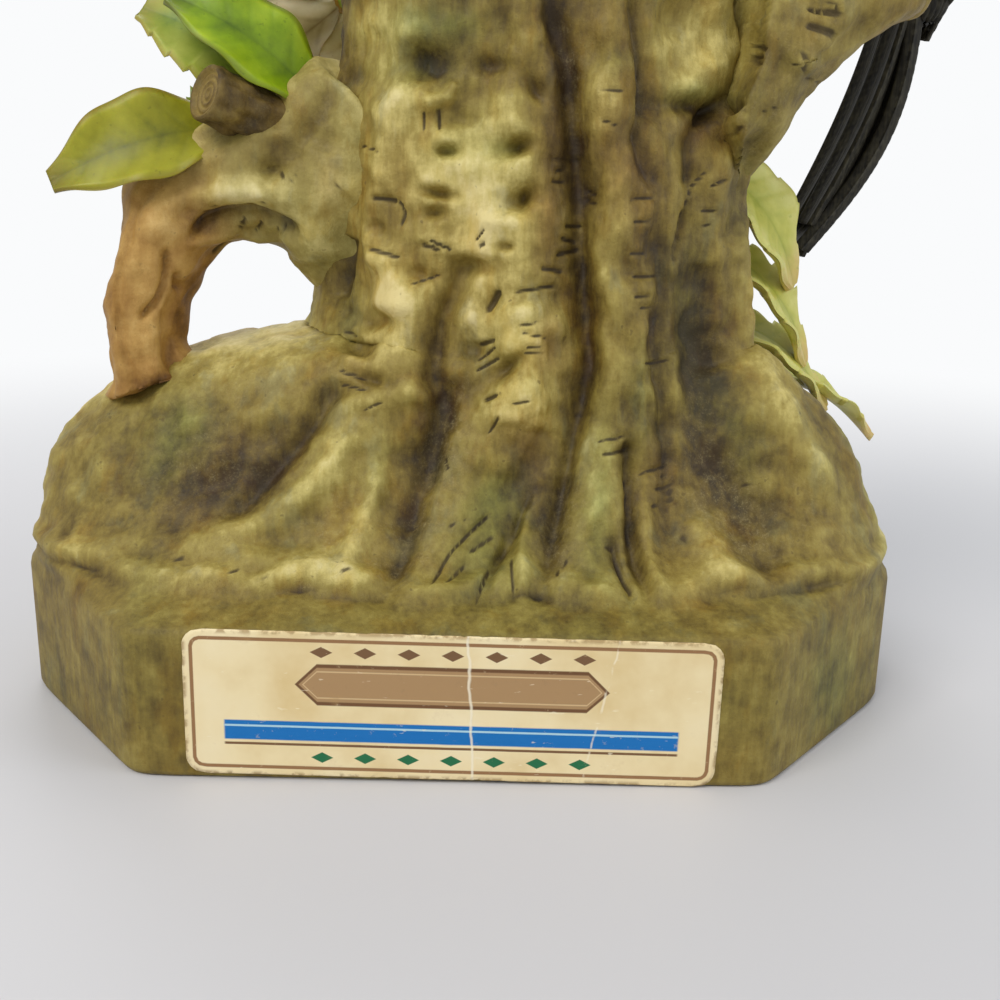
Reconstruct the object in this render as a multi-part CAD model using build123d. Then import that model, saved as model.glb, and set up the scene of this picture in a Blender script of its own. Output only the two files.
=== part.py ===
# A figural liquor decanter of painted bisque porcelain: a hollow tree trunk on a
# faceted plinth, with an arched limb, a climbing limb, leaves, a blossom, a dark
# bird and a stopper shaped as the broken top of the trunk.
# Millimetres. The foot stands on z = 0, the labelled flat facet faces -Y, and the
# bird clings on the +X side.
import math
import os

from build123d import *

# Plinth
foot_width = 165.0  # across X
foot_depth = 106.0  # across Y
facet_width = 104.0  # the flat facet that carries the label
side_facet_depth = 32.0
plinth_height = 27.0
plinth_edge_round = 3.0
plinth_ledge = 4.5  # from the facet back to the start of the mound
side_ledge = 1.0

# Rooted mound
mound_height = 40.0  # from the plinth's top to where the trunk stands clear
near_flare_height = 14.0
far_flare_height = 15.0

# Trunk
trunk_top = 234.0
trunk_width = 86.0
trunk_near_depth = 27.5
trunk_far_depth = 29.0
trunk_top_width = 56.0
trunk_top_depth = 48.0
trunk_offset = 14.0  # the trunk stands this far right of the plinth's centre
top_offset = 8.0  # and leans back to this at its top
flute_depth = 5.6
flute_fade = 0.62  # what is left of that depth at the top
wall = 4.5
floor_thickness = 5.5

# Neck, cork and stopper
neck_height = 17.0
neck_radius = 14.5
bore_radius = 9.5
cork_length = 15.0
cork_clearance = 0.15
cork_taper = 0.5
neck_clearance = 0.8
stopper_height = 56.0
stopper_seat_gap = 0.3
crown_depth = 17.0
crown_notch = 9.0

# Left limb: an arch that comes down on the mound
left_limb_radius = 16.5
left_tip_radius = 8.6
arch_height = 97.0
arch_reach = 61.0
arch_forward = 9.0
stub_radius = 5.0
stub_length = 20.0
stub_rim = 1.1

# Right limb: climbs from the trunk and carries the bird
right_limb_radius = 16.0
right_tip_radius = 8.5
right_limb_height = 208.0
right_limb_reach = 84.0
right_limb_start = 90.0
right_limb_forward = 6.0  # how far its root stands out towards the label side
break_depth = 5.0

# Label
label_width = 88.0
label_height = 25.0
label_thickness = 0.3
label_corner = 3.0
label_lift = 0.5
label_shift = 0.8  # the label was stuck on a little off centre

# Leaves and blossom
leaf_length = 36.0
leaf_width = 19.0
leaf_thickness = 1.7
petal_length = 21.0
petal_width = 17.0
petal_thickness = 1.6
blossom_height = 126.0
blossom_stalk_radius = 3.4
blossom_heart_radius = 4.5
blossom_reach = 10.0  # from the trunk's surface out to the heart

# Bird
bird_length = 70.0  # body, from the root of the tail to the neck
bird_radius = 16.0
bird_head_radius = 12.0
bill_length = 21.0
bill_radius = 3.4
crest_length = 17.0
crest_width = 9.0
tail_length = 60.0
tail_width = 15.0
tail_thickness = 5.2
wing_length = 66.0
wing_width = 26.0
wing_thickness = 3.4
foot_toe_radius = 2.2

# Fineness of the modelled surfaces
round_points = 36
core_points = 20
limb_points = 8
overrun = 3.0  # how far a cutter or a seat runs on past its surface

# Valleys between the roots. Each wanders round the trunk as it climbs: its turn from +X
# at the foot and higher up, in degrees, then its depth there and there, and its width
valley_shares = (
    (-148, -160, 0.75, 0.80, 0.90), (-115, -121, 1.20, 0.60, 0.80), (-75, -76, 0.80, 1.10, 0.75),
    (-50, -52, 0.30, 0.70, 0.60), (-34, -30, 1.30, 1.35, 0.90), (3, 3, 0.60, 0.60, 1.0),
    (38, 38, 0.80, 0.75, 1.0), (74, 74, 0.80, 0.70, 1.0), (112, 112, 0.85, 0.85, 1.0),
    (150, 150, 0.80, 0.90, 1.0))
valley_spread = 15.0  # degrees
valley_turn_share = 0.5  # how far up the mound the valleys start to wander

# Burl: a swollen knot high in the deepest valley of the label side
burl_height = 8.5
burl_level = 118.0
burl_turn = -31.0
burl_spread = 15.0  # degrees
burl_rise = 9.0


def smooth(t):
    """A soft step from 0 to 1."""
    t = min(1.0, max(0.0, t))
    return t * t * (3 - 2 * t)


def mix(a, b, t):
    return a + (b - a) * t


def dome(t, roundness, fall):
    """1 at the foot of a mound, 0 at its top."""
    t = min(1.0, max(0.0, t))
    return (1 - t ** roundness) ** fall


def trunk_rise(z):
    """0 where the trunk stands clear of the mound, 1 at its top."""
    clear = plinth_height + mound_height
    return min(1.3, max(0.0, (z - clear) / (trunk_top - clear)))


def centre_x(z):
    up = smooth((z - plinth_height) / mound_height)
    return trunk_offset * up + (top_offset - trunk_offset) * smooth(trunk_rise(z))


def reaches(z):
    """How far the casting reaches left, right, near and far of the trunk's centre."""
    up = max(0.0, z - plinth_height)
    rise = trunk_rise(z)
    half = mix(trunk_width, trunk_top_width, rise) / 2
    near = mix(trunk_near_depth, trunk_top_depth / 2, rise)
    far = mix(trunk_far_depth, trunk_top_depth / 2, rise)
    ledge_x = foot_width / 2 - side_ledge
    ledge_y = foot_depth / 2 - plinth_ledge
    left = mix(half, ledge_x + centre_x(z), dome(up / mound_height, 4, 1))
    right = mix(half, ledge_x - centre_x(z), dome(up / mound_height, 3.5, 1.2))
    near += (ledge_y - near) * math.exp(-up / near_flare_height)
    far += (ledge_y - far) * math.exp(-up / far_flare_height)
    return left, right, near, far


def form_radius(turn, z):
    """The plain form's radius round the trunk's centre, in the direction turn (degrees)."""
    c = math.cos(math.radians(turn))
    s = math.sin(math.radians(turn))
    left, right, near, far = reaches(z)
    power = mix(2.8, 2.15, smooth((z - plinth_height) / mound_height))
    half_x = right if c > 0 else left
    half_y = far if s > 0 else near
    return (abs(c / half_x) ** power + abs(s / half_y) ** power) ** (-1 / power)


def bell(turn, at, spread):
    """1 in the direction at, falling softly to 0 on both sides."""
    away = (turn - at + 180) % 360 - 180
    return math.exp(-((away / spread) ** 2))


def valley_depth(turn, z):
    """How deep the valleys between the roots are cut there."""
    cut = flute_depth * smooth((z - plinth_height) / near_flare_height)
    cut *= mix(1, flute_fade, trunk_rise(z))
    climb = smooth((z - plinth_height) / mound_height - valley_turn_share)
    depth = 0.0
    for foot_turn, upper_turn, foot_share, upper_share, width_share in valley_shares:
        here = bell(turn, mix(foot_turn, upper_turn, climb), valley_spread * width_share)
        depth += cut * mix(foot_share, upper_share, climb) * here
    return depth


def surface_radius(turn, z):
    """The casting's radius, with its valleys and its burl."""
    swelling = burl_height * math.exp(-(((z - burl_level) / burl_rise) ** 2))
    return form_radius(turn, z) - valley_depth(turn, z) + swelling * bell(turn, burl_turn, burl_spread)


def core_radius(turn, z):
    """The hollow's radius: a wall inside the deepest valley near each of its points."""
    reach = 180 / core_points
    deepest = max(valley_depth(turn + step * reach, z) for step in (-1, -0.5, 0, 0.5, 1))
    return form_radius(turn, z) - deepest - wall


def section(z, radius_at=surface_radius, points=round_points, height=None):
    """One closed cross-section of the casting, or of its hollow, at height z."""
    ring = []
    for k in range(points):
        turn = 360 * k / points
        radius = radius_at(turn, z)
        x = centre_x(z) + radius * math.cos(math.radians(turn))
        y = radius * math.sin(math.radians(turn))
        ring.append((x, y, z if height is None else height))
    return make_face(Spline(*ring, periodic=True))


def largest(shape):
    """The main solid of a cut piece, without any crumb that the cut left."""
    return max(shape.solids(), key=lambda solid: solid.volume)


def seat(piece, *carriers):
    """Cut a piece by what carries it, so that the two meet face to face."""
    for carrier in carriers:
        piece = largest(piece - carrier)
    return piece


# Plinth and mound
side = foot_width / 2
front = foot_depth / 2
facet = facet_width / 2
cheek = side_facet_depth / 2
octagon = Polyline(
    (-facet, -front), (facet, -front), (side, -cheek), (side, cheek),
    (facet, front), (-facet, front), (-side, cheek), (-side, -cheek), close=True)
plinth = extrude(make_face(octagon), plinth_height)
plinth = fillet(plinth.edges().filter_by(Axis.Z), plinth_edge_round * 2)
plinth = chamfer(plinth.faces().sort_by(Axis.Z)[-1].edges(), plinth_edge_round / 2)

mound_shares = (0, 0.15, 0.35, 0.6, 0.82, 1.0)
trunk_shares = (0.2, 0.305, 0.41, 0.7, 1.0)
clear_height = plinth_height + mound_height
levels = [plinth_height + share * mound_height for share in mound_shares]
levels += [clear_height + share * (trunk_top - clear_height) for share in trunk_shares]
sections = [section(levels[0], height=levels[0] - overrun)]
sections += [section(z) for z in levels]
trunk = loft(sections, ruled=True)
solid_casting = largest(plinth + trunk)

# Liquor cavity and the bore up through the shoulder
neck_x = centre_x(trunk_top)
cavity_top = trunk_top - wall
core_levels = [z for z in levels[::2] if z < cavity_top] + [cavity_top]
core = [section(levels[0], core_radius, core_points, height=floor_thickness)]
core += [section(z, core_radius, core_points) for z in core_levels]
cavity = loft(core, ruled=True)
bore = Pos(neck_x, 0, cavity_top - overrun) * Cylinder(
    bore_radius, wall + neck_height + 2 * overrun,
    align=(Align.CENTER, Align.CENTER, Align.MIN))
vessel_body = largest(solid_casting - (cavity + bore))

# Neck: a plain ring on the shoulder, hidden by the stopper
neck = Pos(neck_x, 0, trunk_top) * Cylinder(
    neck_radius, neck_height, align=(Align.CENTER, Align.CENTER, Align.MIN))

pieces = {"vessel_body": vessel_body, "vessel_neck": neck - bore}


def skin(rings, flat):
    """A closed solid over rings of points, with flat quads or pairs of triangles between."""
    faces = [Face(Wire.make_polygon(ring, close=True)) for ring in (rings[0], rings[-1])]
    for lower, upper in zip(rings, rings[1:]):
        for j in range(len(lower)):
            a, b, c, d = lower[j - 1], lower[j], upper[j], upper[j - 1]
            patches = [[a, b, c, d]] if flat else [[a, b, c], [a, c, d]]
            faces += [Face(Wire.make_polygon(patch, close=True)) for patch in patches]
    return Solid(Shell(faces))


def blob(centre, along, across, radius_x, radius_y, points=limb_points, swell=0.0, phase=0.0):
    """A rounded cross-section of a limb or of the bird, with soft swellings."""
    plane = Plane(origin=centre, x_dir=across, z_dir=along)
    ring = []
    for k in range(points):
        turn = 2 * math.pi * k / points
        bulge = 1 + swell * math.cos(3 * turn + phase)
        ring.append(plane.from_local_coords(
            (radius_x * bulge * math.cos(turn), radius_y * bulge * math.sin(turn))))
    return make_face(Spline(*ring, periodic=True))


def tube(route, radii, across, flat=1.0, swell=0.0, points=limb_points):
    """A tapering limb through the points of route, flat times as deep as it is wide."""
    rings = []
    for k, point in enumerate(route):
        before = route[max(0, k - 1)]
        after = route[min(len(route) - 1, k + 1)]
        along = (after - before).normalized()
        sideways = (across - along * across.dot(along)).normalized()
        rings.append(blob(point, along, sideways, radii[k], radii[k] * flat, points, swell, 1.7 * k))
    return loft(rings, ruled=True)


def blade(base, along, face, length, width, thickness, steps=8, fold=0.18, arch=0.12, tooth=0.0,
          blunt=0.12, widest=0.45, ribs=2):
    """A leaf, petal or feather: a thin folded plate, lofted along its midrib."""
    along = along.normalized()
    face = (face - along * face.dot(along)).normalized()
    sideways = along.cross(face)
    rings = []
    for k in range(steps + 1):
        t = k / steps
        bent = t ** (math.log(0.5) / math.log(widest))
        half = width / 2 * (blunt + (1 - blunt) * math.sin(math.pi * bent))
        if k % 2 and 0 < k < steps:
            half *= 1 - tooth
        centre = base + along * (length * t) + face * (length * arch * math.sin(math.pi * t))
        top = []
        for j in range(-ribs, ribs + 1):
            share = j / ribs
            lift = fold * half * share * share
            top.append(centre + sideways * (half * share) + face * lift)
        rings.append(top + [point - face * thickness for point in reversed(top)])
    return skin(rings, flat=True)


def twig(route, radii, across, sides=6):
    """A small faceted limb, such as a stalk or a toe."""
    rings = []
    for k, point in enumerate(route):
        along = (route[min(len(route) - 1, k + 1)] - route[max(0, k - 1)]).normalized()
        plane = Plane(origin=point, x_dir=across - along * across.dot(along), z_dir=along)
        turns = [2 * math.pi * j / sides for j in range(sides)]
        rings.append([plane.from_local_coords((radii[k] * math.cos(t), radii[k] * math.sin(t)))
                      for t in turns])
    return skin(rings, flat=False)


# Left limb: arch centreline as shares of its reach and height
arch_shares = (  # across, height, forward, thickness from root to tip
    (-0.10, 1.00, 0.0, 0.0), (0.28, 1.02, 0.1, 0.05), (0.50, 1.01, 0.2, 0.3),
    (0.70, 0.985, 0.4, 0.5), (0.88, 0.91, 0.7, 0.65), (0.98, 0.80, 0.9, 0.85),
    (1.00, 0.69, 1.0, 0.95), (0.97, 0.60, 1.0, 1.0))
arch_route = [Vector(-arch_reach * a, -arch_forward * f, arch_height * h)
              for a, h, f, _ in arch_shares]
arch_radii = [mix(left_limb_radius, left_tip_radius, t) for *_, t in arch_shares]
left_limb = tube(arch_route, arch_radii, Vector(0, 1, 0), flat=0.95, swell=0.05)
left_limb = seat(left_limb, solid_casting)
pieces["left_limb"] = left_limb

# Cut stub with a raised bark rim round its growth rings
stub_side = Vector(-0.32, -0.45, 0.83).normalized()
stub_along = Vector(-0.83, -0.53, 0.10).normalized()
stub_start = (arch_route[1] + arch_route[2]) / 2 + stub_side * (left_limb_radius * 0.66)
stub_plane = Plane(origin=stub_start, z_dir=stub_along)
stub_half = stub_radius - stub_rim
stub_profile = Polyline(
    (0, 0), (stub_radius * 1.25, 0), (stub_radius, stub_length * 0.75),
    (stub_radius, stub_length), (stub_half, stub_length),
    (stub_half, stub_length - stub_rim), (0, stub_length - stub_rim), close=True)
stub_turned = revolve(make_face(Plane.XZ * stub_profile), Axis.Z)
limb_stub = seat(stub_plane.location * stub_turned, left_limb, solid_casting)
pieces["limb_stub"] = limb_stub

# Right limb
climb_shares = (  # across, forward, height, thickness from root to tip
    (0.40, 1.0, 0.00, 0.0), (0.51, 0.7, 0.108, 0.0), (0.61, 0.3, 0.214, 0.07),
    (0.78, 0.0, 0.326, 0.27), (0.89, -0.2, 0.415, 0.47), (0.95, 0.0, 0.525, 0.65),
    (0.97, 0.1, 0.66, 0.78), (0.97, 0.2, 0.83, 0.88), (1.0, -0.2, 1.00, 1.0))
climb = right_limb_height - right_limb_start
climb_route = [Vector(right_limb_reach * a, -right_limb_forward * f, right_limb_start + climb * h)
               for a, f, h, _ in climb_shares]
climb_radii = [mix(right_limb_radius, right_tip_radius, t) for *_, t in climb_shares]
right_limb = tube(climb_route, climb_radii, Vector(0, 1, 0), swell=0.06)
crater = Pos(*climb_route[-1]) * Cone(
    right_tip_radius * 0.2, right_tip_radius * 0.85, break_depth * 2)
right_limb = seat(right_limb - crater, solid_casting)
pieces["right_limb"] = right_limb

# Stopper: the broken top of the trunk, over the neck, with a cork in the bore
stopper_bottom = trunk_top + stopper_seat_gap
stopper_shares = (0.0, 1.0)
crown = loft([section(trunk_top + stopper_seat_gap + share * stopper_height)
              for share in stopper_shares], ruled=True)
crown_top = stopper_bottom + stopper_height
hollow = Pos(neck_x, 0, crown_top) * Cone(
    trunk_top_depth * 0.12, trunk_top_depth * 0.52, crown_depth * 2)
crown -= hollow
notch_turns = (20.0, 78.0, 131.0, 196.0, 251.0, 309.0)
for k, turn in enumerate(notch_turns):
    deep = crown_notch * (1 + 0.5 * (k % 3))
    tooth = Polyline((-deep * 0.7, crown_top + overrun), (0, crown_top - deep),
                     (deep * 0.45, crown_top + overrun), close=True)
    tooth_block = extrude(make_face(Plane.XZ * tooth), trunk_top_width)
    crown -= Pos(neck_x, 0, 0) * Rot(0, 0, turn) * tooth_block
socket_depth = neck_height + neck_clearance - stopper_seat_gap
socket_radius = neck_radius + neck_clearance
crown -= Pos(neck_x, 0, stopper_bottom) * Cylinder(
    socket_radius, socket_depth, align=(Align.CENTER, Align.CENTER, Align.MIN))
pieces["stopper_top"] = largest(crown)

cork_top = stopper_bottom + socket_depth
cork_radius = bore_radius - cork_clearance
pieces["stopper_cork"] = Pos(neck_x, 0, cork_top - cork_length) * Cone(
    cork_radius - cork_taper, cork_radius, cork_length,
    align=(Align.CENTER, Align.CENTER, Align.MIN))

# Paper label on the flat facet
label_outline = RectangleRounded(label_width, label_height, label_corner)
label_middle = label_lift + label_height / 2
label_plane = Plane(origin=(label_shift, -front, label_middle), x_dir=(1, 0, 0), z_dir=(0, -1, 0))
pieces["paper_label"] = extrude(label_plane * label_outline, label_thickness)


def trunk_point(turn, z, outside=0.0):
    """A point on the trunk's surface, or outside it."""
    radius = surface_radius(turn, z) + outside
    heading = math.radians(turn)
    return Vector(centre_x(z) + radius * math.cos(heading), radius * math.sin(heading), z)


def limb_point(route, radii, share, outward, outside=0.0):
    """A point on a limb's surface, in the direction outward."""
    place = share * (len(route) - 1)
    k = min(len(route) - 2, int(place))
    centre = route[k] + (route[k + 1] - route[k]) * (place - k)
    radius = mix(radii[k], radii[k + 1], place - k)
    return centre + outward.normalized() * (radius + outside)


# Left leaves: where along the arch, way out of the limb, way the leaf runs, its face, size
left_leaf_shares = {
    "left_leaf_bright": (0.25, (0.0, -0.3, 1), (-0.74, -0.15, 0.65), (0.50, -0.62, 0.60), 0.80),
    "left_leaf_olive": (0.27, (0.0, 0.2, 1), (-0.86, 0.10, 0.48), (0.42, -0.62, 0.65), 0.84),
    "left_leaf_lower": (0.43, (0.0, -0.3, 1), (-0.90, -0.30, -0.32), (-0.15, -0.93, 0.33), 0.90),
    "left_leaf_far": (0.40, (0, 0.9, 0.5), (-0.60, 0.75, 0.25), (0.1, 0.3, 0.95), 1.0),
}
for name, (share, outward, along, face, size_share) in left_leaf_shares.items():
    base = limb_point(arch_route, arch_radii, share, Vector(*outward), -overrun)
    leaf = blade(base, Vector(*along), Vector(*face), leaf_length * size_share,
                 leaf_width * size_share, leaf_thickness, tooth=0.06, fold=0.30, blunt=0.2)
    earlier = [piece for key, piece in pieces.items() if key.startswith("left_leaf")]
    pieces[name] = seat(leaf, solid_casting, left_limb, limb_stub, *earlier)

# Right leaves: turn round the trunk, height share, way the leaf runs, its face, size
right_leaf_shares = {
    "right_leaf_top": (8.0, 0.43, (0.62, 0.10, -0.78), (0.45, -0.60, 0.62), 0.84),
    "right_leaf_middle": (9.0, 0.365, (0.66, 0.08, -0.75), (0.62, -0.42, 0.60), 0.88),
    "right_leaf_low": (11.0, 0.305, (0.80, 0.10, -0.60), (0.55, -0.35, 0.72), 0.88),
    "right_leaf_foot": (17.0, 0.255, (0.90, 0.16, -0.42), (0.35, -0.10, 0.92), 0.94),
}
for name, (turn, share, along, face, size_share) in right_leaf_shares.items():
    base = trunk_point(turn, trunk_top * share, -overrun)
    leaf = blade(base, Vector(*along), Vector(*face), leaf_length * size_share,
                 leaf_width * size_share, leaf_thickness, tooth=0.22, fold=0.25)
    earlier = [piece for key, piece in pieces.items() if key.startswith("right_leaf")]
    pieces[name] = seat(leaf, solid_casting, right_limb, *earlier)

# Blossom on a short stalk, facing up and away from the label
stalk_turn = 152.0
stalk_foot = trunk_point(stalk_turn, blossom_height, -overrun)
heart = trunk_point(stalk_turn, blossom_height, blossom_reach) + Vector(0, 0, blossom_reach / 2)
stalk = twig([stalk_foot, (stalk_foot + heart) / 2, heart],
             [blossom_stalk_radius * 1.4, blossom_stalk_radius, blossom_stalk_radius],
             Vector(0, 1, 0))
blossom_face = Vector(-0.40, 0.75, 0.50).normalized()
heart_shares = ((-0.6, 0.7), (-0.1, 1.0), (0.5, 0.8), (0.9, 0.35))
blossom_heart = twig([heart + blossom_face * (blossom_heart_radius * a) for a, _ in heart_shares],
                     [blossom_heart_radius * r for _, r in heart_shares], Vector(0, 0, 1), sides=9)
pieces["blossom_stalk"] = seat(stalk, solid_casting, left_limb)
pieces["blossom_heart"] = seat(blossom_heart, pieces["blossom_stalk"], solid_casting)
ring_x = blossom_face.cross(Vector(0, 0, 1)).normalized()
ring_y = blossom_face.cross(ring_x)
petal_count = 6
for k in range(petal_count):
    turn = 2 * math.pi * (k + 0.25) / petal_count
    out = ring_x * math.cos(turn) + ring_y * math.sin(turn)
    base = heart + out * (blossom_heart_radius * 0.6)
    petal = blade(base, out + blossom_face * (0.25 + 0.12 * (k % 2)), blossom_face, petal_length,
                  petal_width, petal_thickness, steps=6, fold=0.4, arch=-0.1, widest=0.6, blunt=0.25)
    earlier = [piece for key, piece in pieces.items()
               if key.startswith(("blossom", "left_leaf", "limb_stub"))]
    pieces[f"blossom_petal_{k + 1}"] = seat(petal, solid_casting, left_limb, *earlier)

# Bird: clings to the far right of the climbing limb, its tail braced towards the trunk
cling = Vector(0.34, 0.94, 0).normalized()
perch_share = 0.75
body_middle = limb_point(climb_route, climb_radii, perch_share, cling, bird_radius * 0.92)
body_along = Vector(0.02, -0.10, 1).normalized()
body_shares = (  # along, radius, out from the limb
    (-0.50, 0.42, 0.0), (-0.32, 0.80, 0.08), (-0.08, 1.0, 0.14), (0.14, 0.97, 0.12),
    (0.33, 0.78, 0.04), (0.5, 0.58, -0.06))
body_route = [body_middle + body_along * (bird_length * a) + cling * (bird_radius * o)
              for a, _, o in body_shares]
body_radii = [bird_radius * r for _, r, _ in body_shares]
bird_across = Vector(-cling.Y, cling.X, 0)
bird_body = tube(body_route, body_radii, bird_across, flat=0.92)
pieces["bird_body"] = seat(bird_body, right_limb, solid_casting)

head_middle = body_route[-1] + body_along * (bird_head_radius * 0.75) - cling * (bird_head_radius * 0.12)
head_look = Vector(-0.72, -0.42, 0.40).normalized()
head_shares = ((-1.0, 0.45), (-0.65, 0.86), (-0.1, 1.0), (0.5, 0.86), (0.95, 0.45))
head_route = [head_middle + head_look * (bird_head_radius * a) for a, _ in head_shares]
head_radii = [bird_head_radius * r for _, r in head_shares]
bird_head = tube(head_route, head_radii, Vector(0, 0, 1))
pieces["bird_head"] = seat(bird_head, pieces["bird_body"], right_limb)

bill_route = [head_route[-2], head_route[-1] + head_look * (bill_length * 0.5),
              head_route[-1] + head_look * bill_length]
bill = twig(bill_route, [bill_radius * 1.3, bill_radius * 0.8, bill_radius * 0.2],
            Vector(0, 0, 1), sides=8)
pieces["bird_bill"] = seat(bill, pieces["bird_head"])

crest = blade(head_middle + Vector(0, 0, bird_head_radius * 0.55) + head_look * (bird_head_radius * 0.3),
              Vector(0, 0, 0.75) - head_look, head_look + Vector(0, 0, 0.9), crest_length,
              crest_width, crest_width * 0.5, steps=6, fold=-0.6, arch=0.16, blunt=0.3)
pieces["bird_crest"] = seat(crest, pieces["bird_head"], pieces["bird_body"])

# Tail: stiff feathers, bent like a bracket round the hollow beside the trunk
tail_root = body_route[0] + body_along * (bird_length * 0.08)
tail_along = Vector(-0.33, -0.05, -0.94)
tail_face = Vector(0.90, 0.30, -0.33)
bird_tail = blade(tail_root, tail_along, tail_face, tail_length, tail_width, tail_thickness,
                  steps=8, fold=-0.25, arch=0.12, blunt=0.62, widest=0.55, ribs=3)
pieces["bird_tail"] = seat(bird_tail, pieces["bird_body"], right_limb,
                           *[pieces[name] for name in right_leaf_shares])

for name, way in (("bird_wing_left", -1), ("bird_wing_right", 1)):
    out = (bird_across * way + cling * 0.75).normalized()
    wing_root = body_route[-2] + out * (bird_radius * 0.52)
    wing_end = body_route[0] + cling * (bird_radius * 0.62) + bird_across * (way * bird_radius * 0.2)
    wing = blade(wing_root, wing_end - wing_root, out, wing_length, wing_width,
                 wing_thickness, steps=8, fold=-0.32, arch=0.10, blunt=0.2, widest=0.36, ribs=3)
    pieces[name] = seat(wing, pieces["bird_body"], pieces["bird_tail"], pieces["bird_head"], right_limb)
pieces["bird_wing_right"] = seat(pieces["bird_wing_right"], pieces["bird_wing_left"])

for name, way in (("bird_foot_left", -1), ("bird_foot_right", 1)):
    hip = body_route[2] - cling * (bird_radius * 0.6) + bird_across * (way * bird_radius * 0.55)
    grip = limb_point(climb_route, climb_radii, perch_share + 0.02,
                      bird_across * way * 0.9 - cling * 0.12, foot_toe_radius * 0.2)
    knee = (hip + grip) / 2 + bird_across * (way * foot_toe_radius * 2)
    toe = grip - cling * (foot_toe_radius * 2.6) + Vector(0, 0, foot_toe_radius * 2)
    foot = twig([hip, knee, grip, toe], [foot_toe_radius * s for s in (1.3, 1.1, 1.0, 0.5)],
                Vector(0, 0, 1))
    pieces[name] = seat(foot, pieces["bird_body"], right_limb, pieces["bird_wing_left"],
                        pieces["bird_wing_right"])

os.makedirs("parts", exist_ok=True)
triangles = 0
for name, piece in pieces.items():
    box = piece.bounding_box()
    triangles += len(piece.tessellate(max(0.01, box.diagonal * 0.0002), 0.3)[1])
    export_step(piece, f"parts/{name}.step")
print(len(pieces), "pieces,", triangles, "triangles,", "cavity", round(cavity.volume / 1000), "ml")
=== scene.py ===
# %% [markdown]
# A figural liquor decanter in painted bisque porcelain: a hollow tree trunk on a
# faceted plinth. The lesson builds its looks around a measured frame: every solid
# of the frame keeps its place, and each visible piece is modelled over it.
# Sizes are in millimetres while a shape is worked out, and in metres in the mesh.

# %% Load the frame
import math

import bpy
import numpy as np
from mathutils import Matrix, Vector, noise


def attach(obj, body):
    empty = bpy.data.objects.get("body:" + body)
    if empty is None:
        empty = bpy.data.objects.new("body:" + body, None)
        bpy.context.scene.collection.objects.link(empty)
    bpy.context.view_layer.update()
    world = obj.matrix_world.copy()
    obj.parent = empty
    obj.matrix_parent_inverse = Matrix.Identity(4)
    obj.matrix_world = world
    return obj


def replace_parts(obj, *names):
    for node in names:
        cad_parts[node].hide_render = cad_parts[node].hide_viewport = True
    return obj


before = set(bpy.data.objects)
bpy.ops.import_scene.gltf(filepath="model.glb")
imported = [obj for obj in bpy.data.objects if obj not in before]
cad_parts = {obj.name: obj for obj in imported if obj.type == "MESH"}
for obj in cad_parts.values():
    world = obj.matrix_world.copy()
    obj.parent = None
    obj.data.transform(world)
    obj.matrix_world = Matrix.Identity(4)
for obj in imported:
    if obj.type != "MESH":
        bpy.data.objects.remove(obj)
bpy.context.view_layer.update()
MM = 0.001

# %% [markdown]
# The camera stands where the photographer stood: close to the label, a little above
# it and tipped down. A real camera could be matched by hand in the viewport; here
# its place, tilt and focal length in pixels are written down, because the carved
# marks on the trunk are later placed by their pixel in this same view.

# %% The camera
PHOTO = 1000  # pixels, width and height
FOCAL_PX = 1150.0
EYE = np.array([7.5, -223.5, 94.0])
TIP = math.radians(15.0)  # down from level
ROLL = math.radians(1.1)  # right side of the picture lower

forward = np.array([0.0, math.cos(TIP), -math.sin(TIP)])
level_up = np.array([0.0, math.sin(TIP), math.cos(TIP)])
level_right = np.array([1.0, 0.0, 0.0])
right = level_right * math.cos(ROLL) + level_up * math.sin(ROLL)
up = level_up * math.cos(ROLL) - level_right * math.sin(ROLL)

camera_data = bpy.data.cameras.new("camera")
camera_data.sensor_width = 36.0
camera_data.lens = FOCAL_PX / PHOTO * camera_data.sensor_width
camera_data.clip_start = 0.01
camera = bpy.data.objects.new("camera", camera_data)
bpy.context.collection.objects.link(camera)
axes = Matrix((right, up, -forward)).transposed().to_4x4()
camera.matrix_world = Matrix.Translation(Vector(EYE * MM)) @ axes
bpy.context.scene.camera = camera


def to_photo(points):
    """Pixel columns and rows of points given in millimetres."""
    away = np.asarray(points) - EYE
    depth = away @ forward
    middle = PHOTO / 2
    return middle + FOCAL_PX * (away @ right) / depth, middle - FOCAL_PX * (away @ up) / depth


print("the label's lower corners at", to_photo([(-44, -53.3, 1), (44, -53.3, 1)]))

# %% [markdown]
# Shader maths reads best as plain expressions. One small class wraps a socket, so
# that 1 - mask * 0.5 adds its Math nodes by itself. Another holds a tree of nodes and
# adds any other node from its type, its settings and what goes into its sockets. The
# materials use both, and so do the two Geometry Nodes trees further down.

# %% Node arithmetic
def rgb(*levels):
    """A colour as it is read on a screen, 0 to 255, in the linear values that shaders use."""
    linear = [c / 255 / 12.92 if c <= 10 else ((c / 255 + 0.055) / 1.055) ** 2.4 for c in levels]
    return (*linear, 1.0)


def operator(operation, swapped=False):
    """A method that adds a Math node to the tree of its wire."""
    def add(self, *others):
        values = (*others, self) if swapped else (self, *others)
        return self.owner.node("Math", dict(enumerate(values)), {"operation": operation})
    return add


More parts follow.
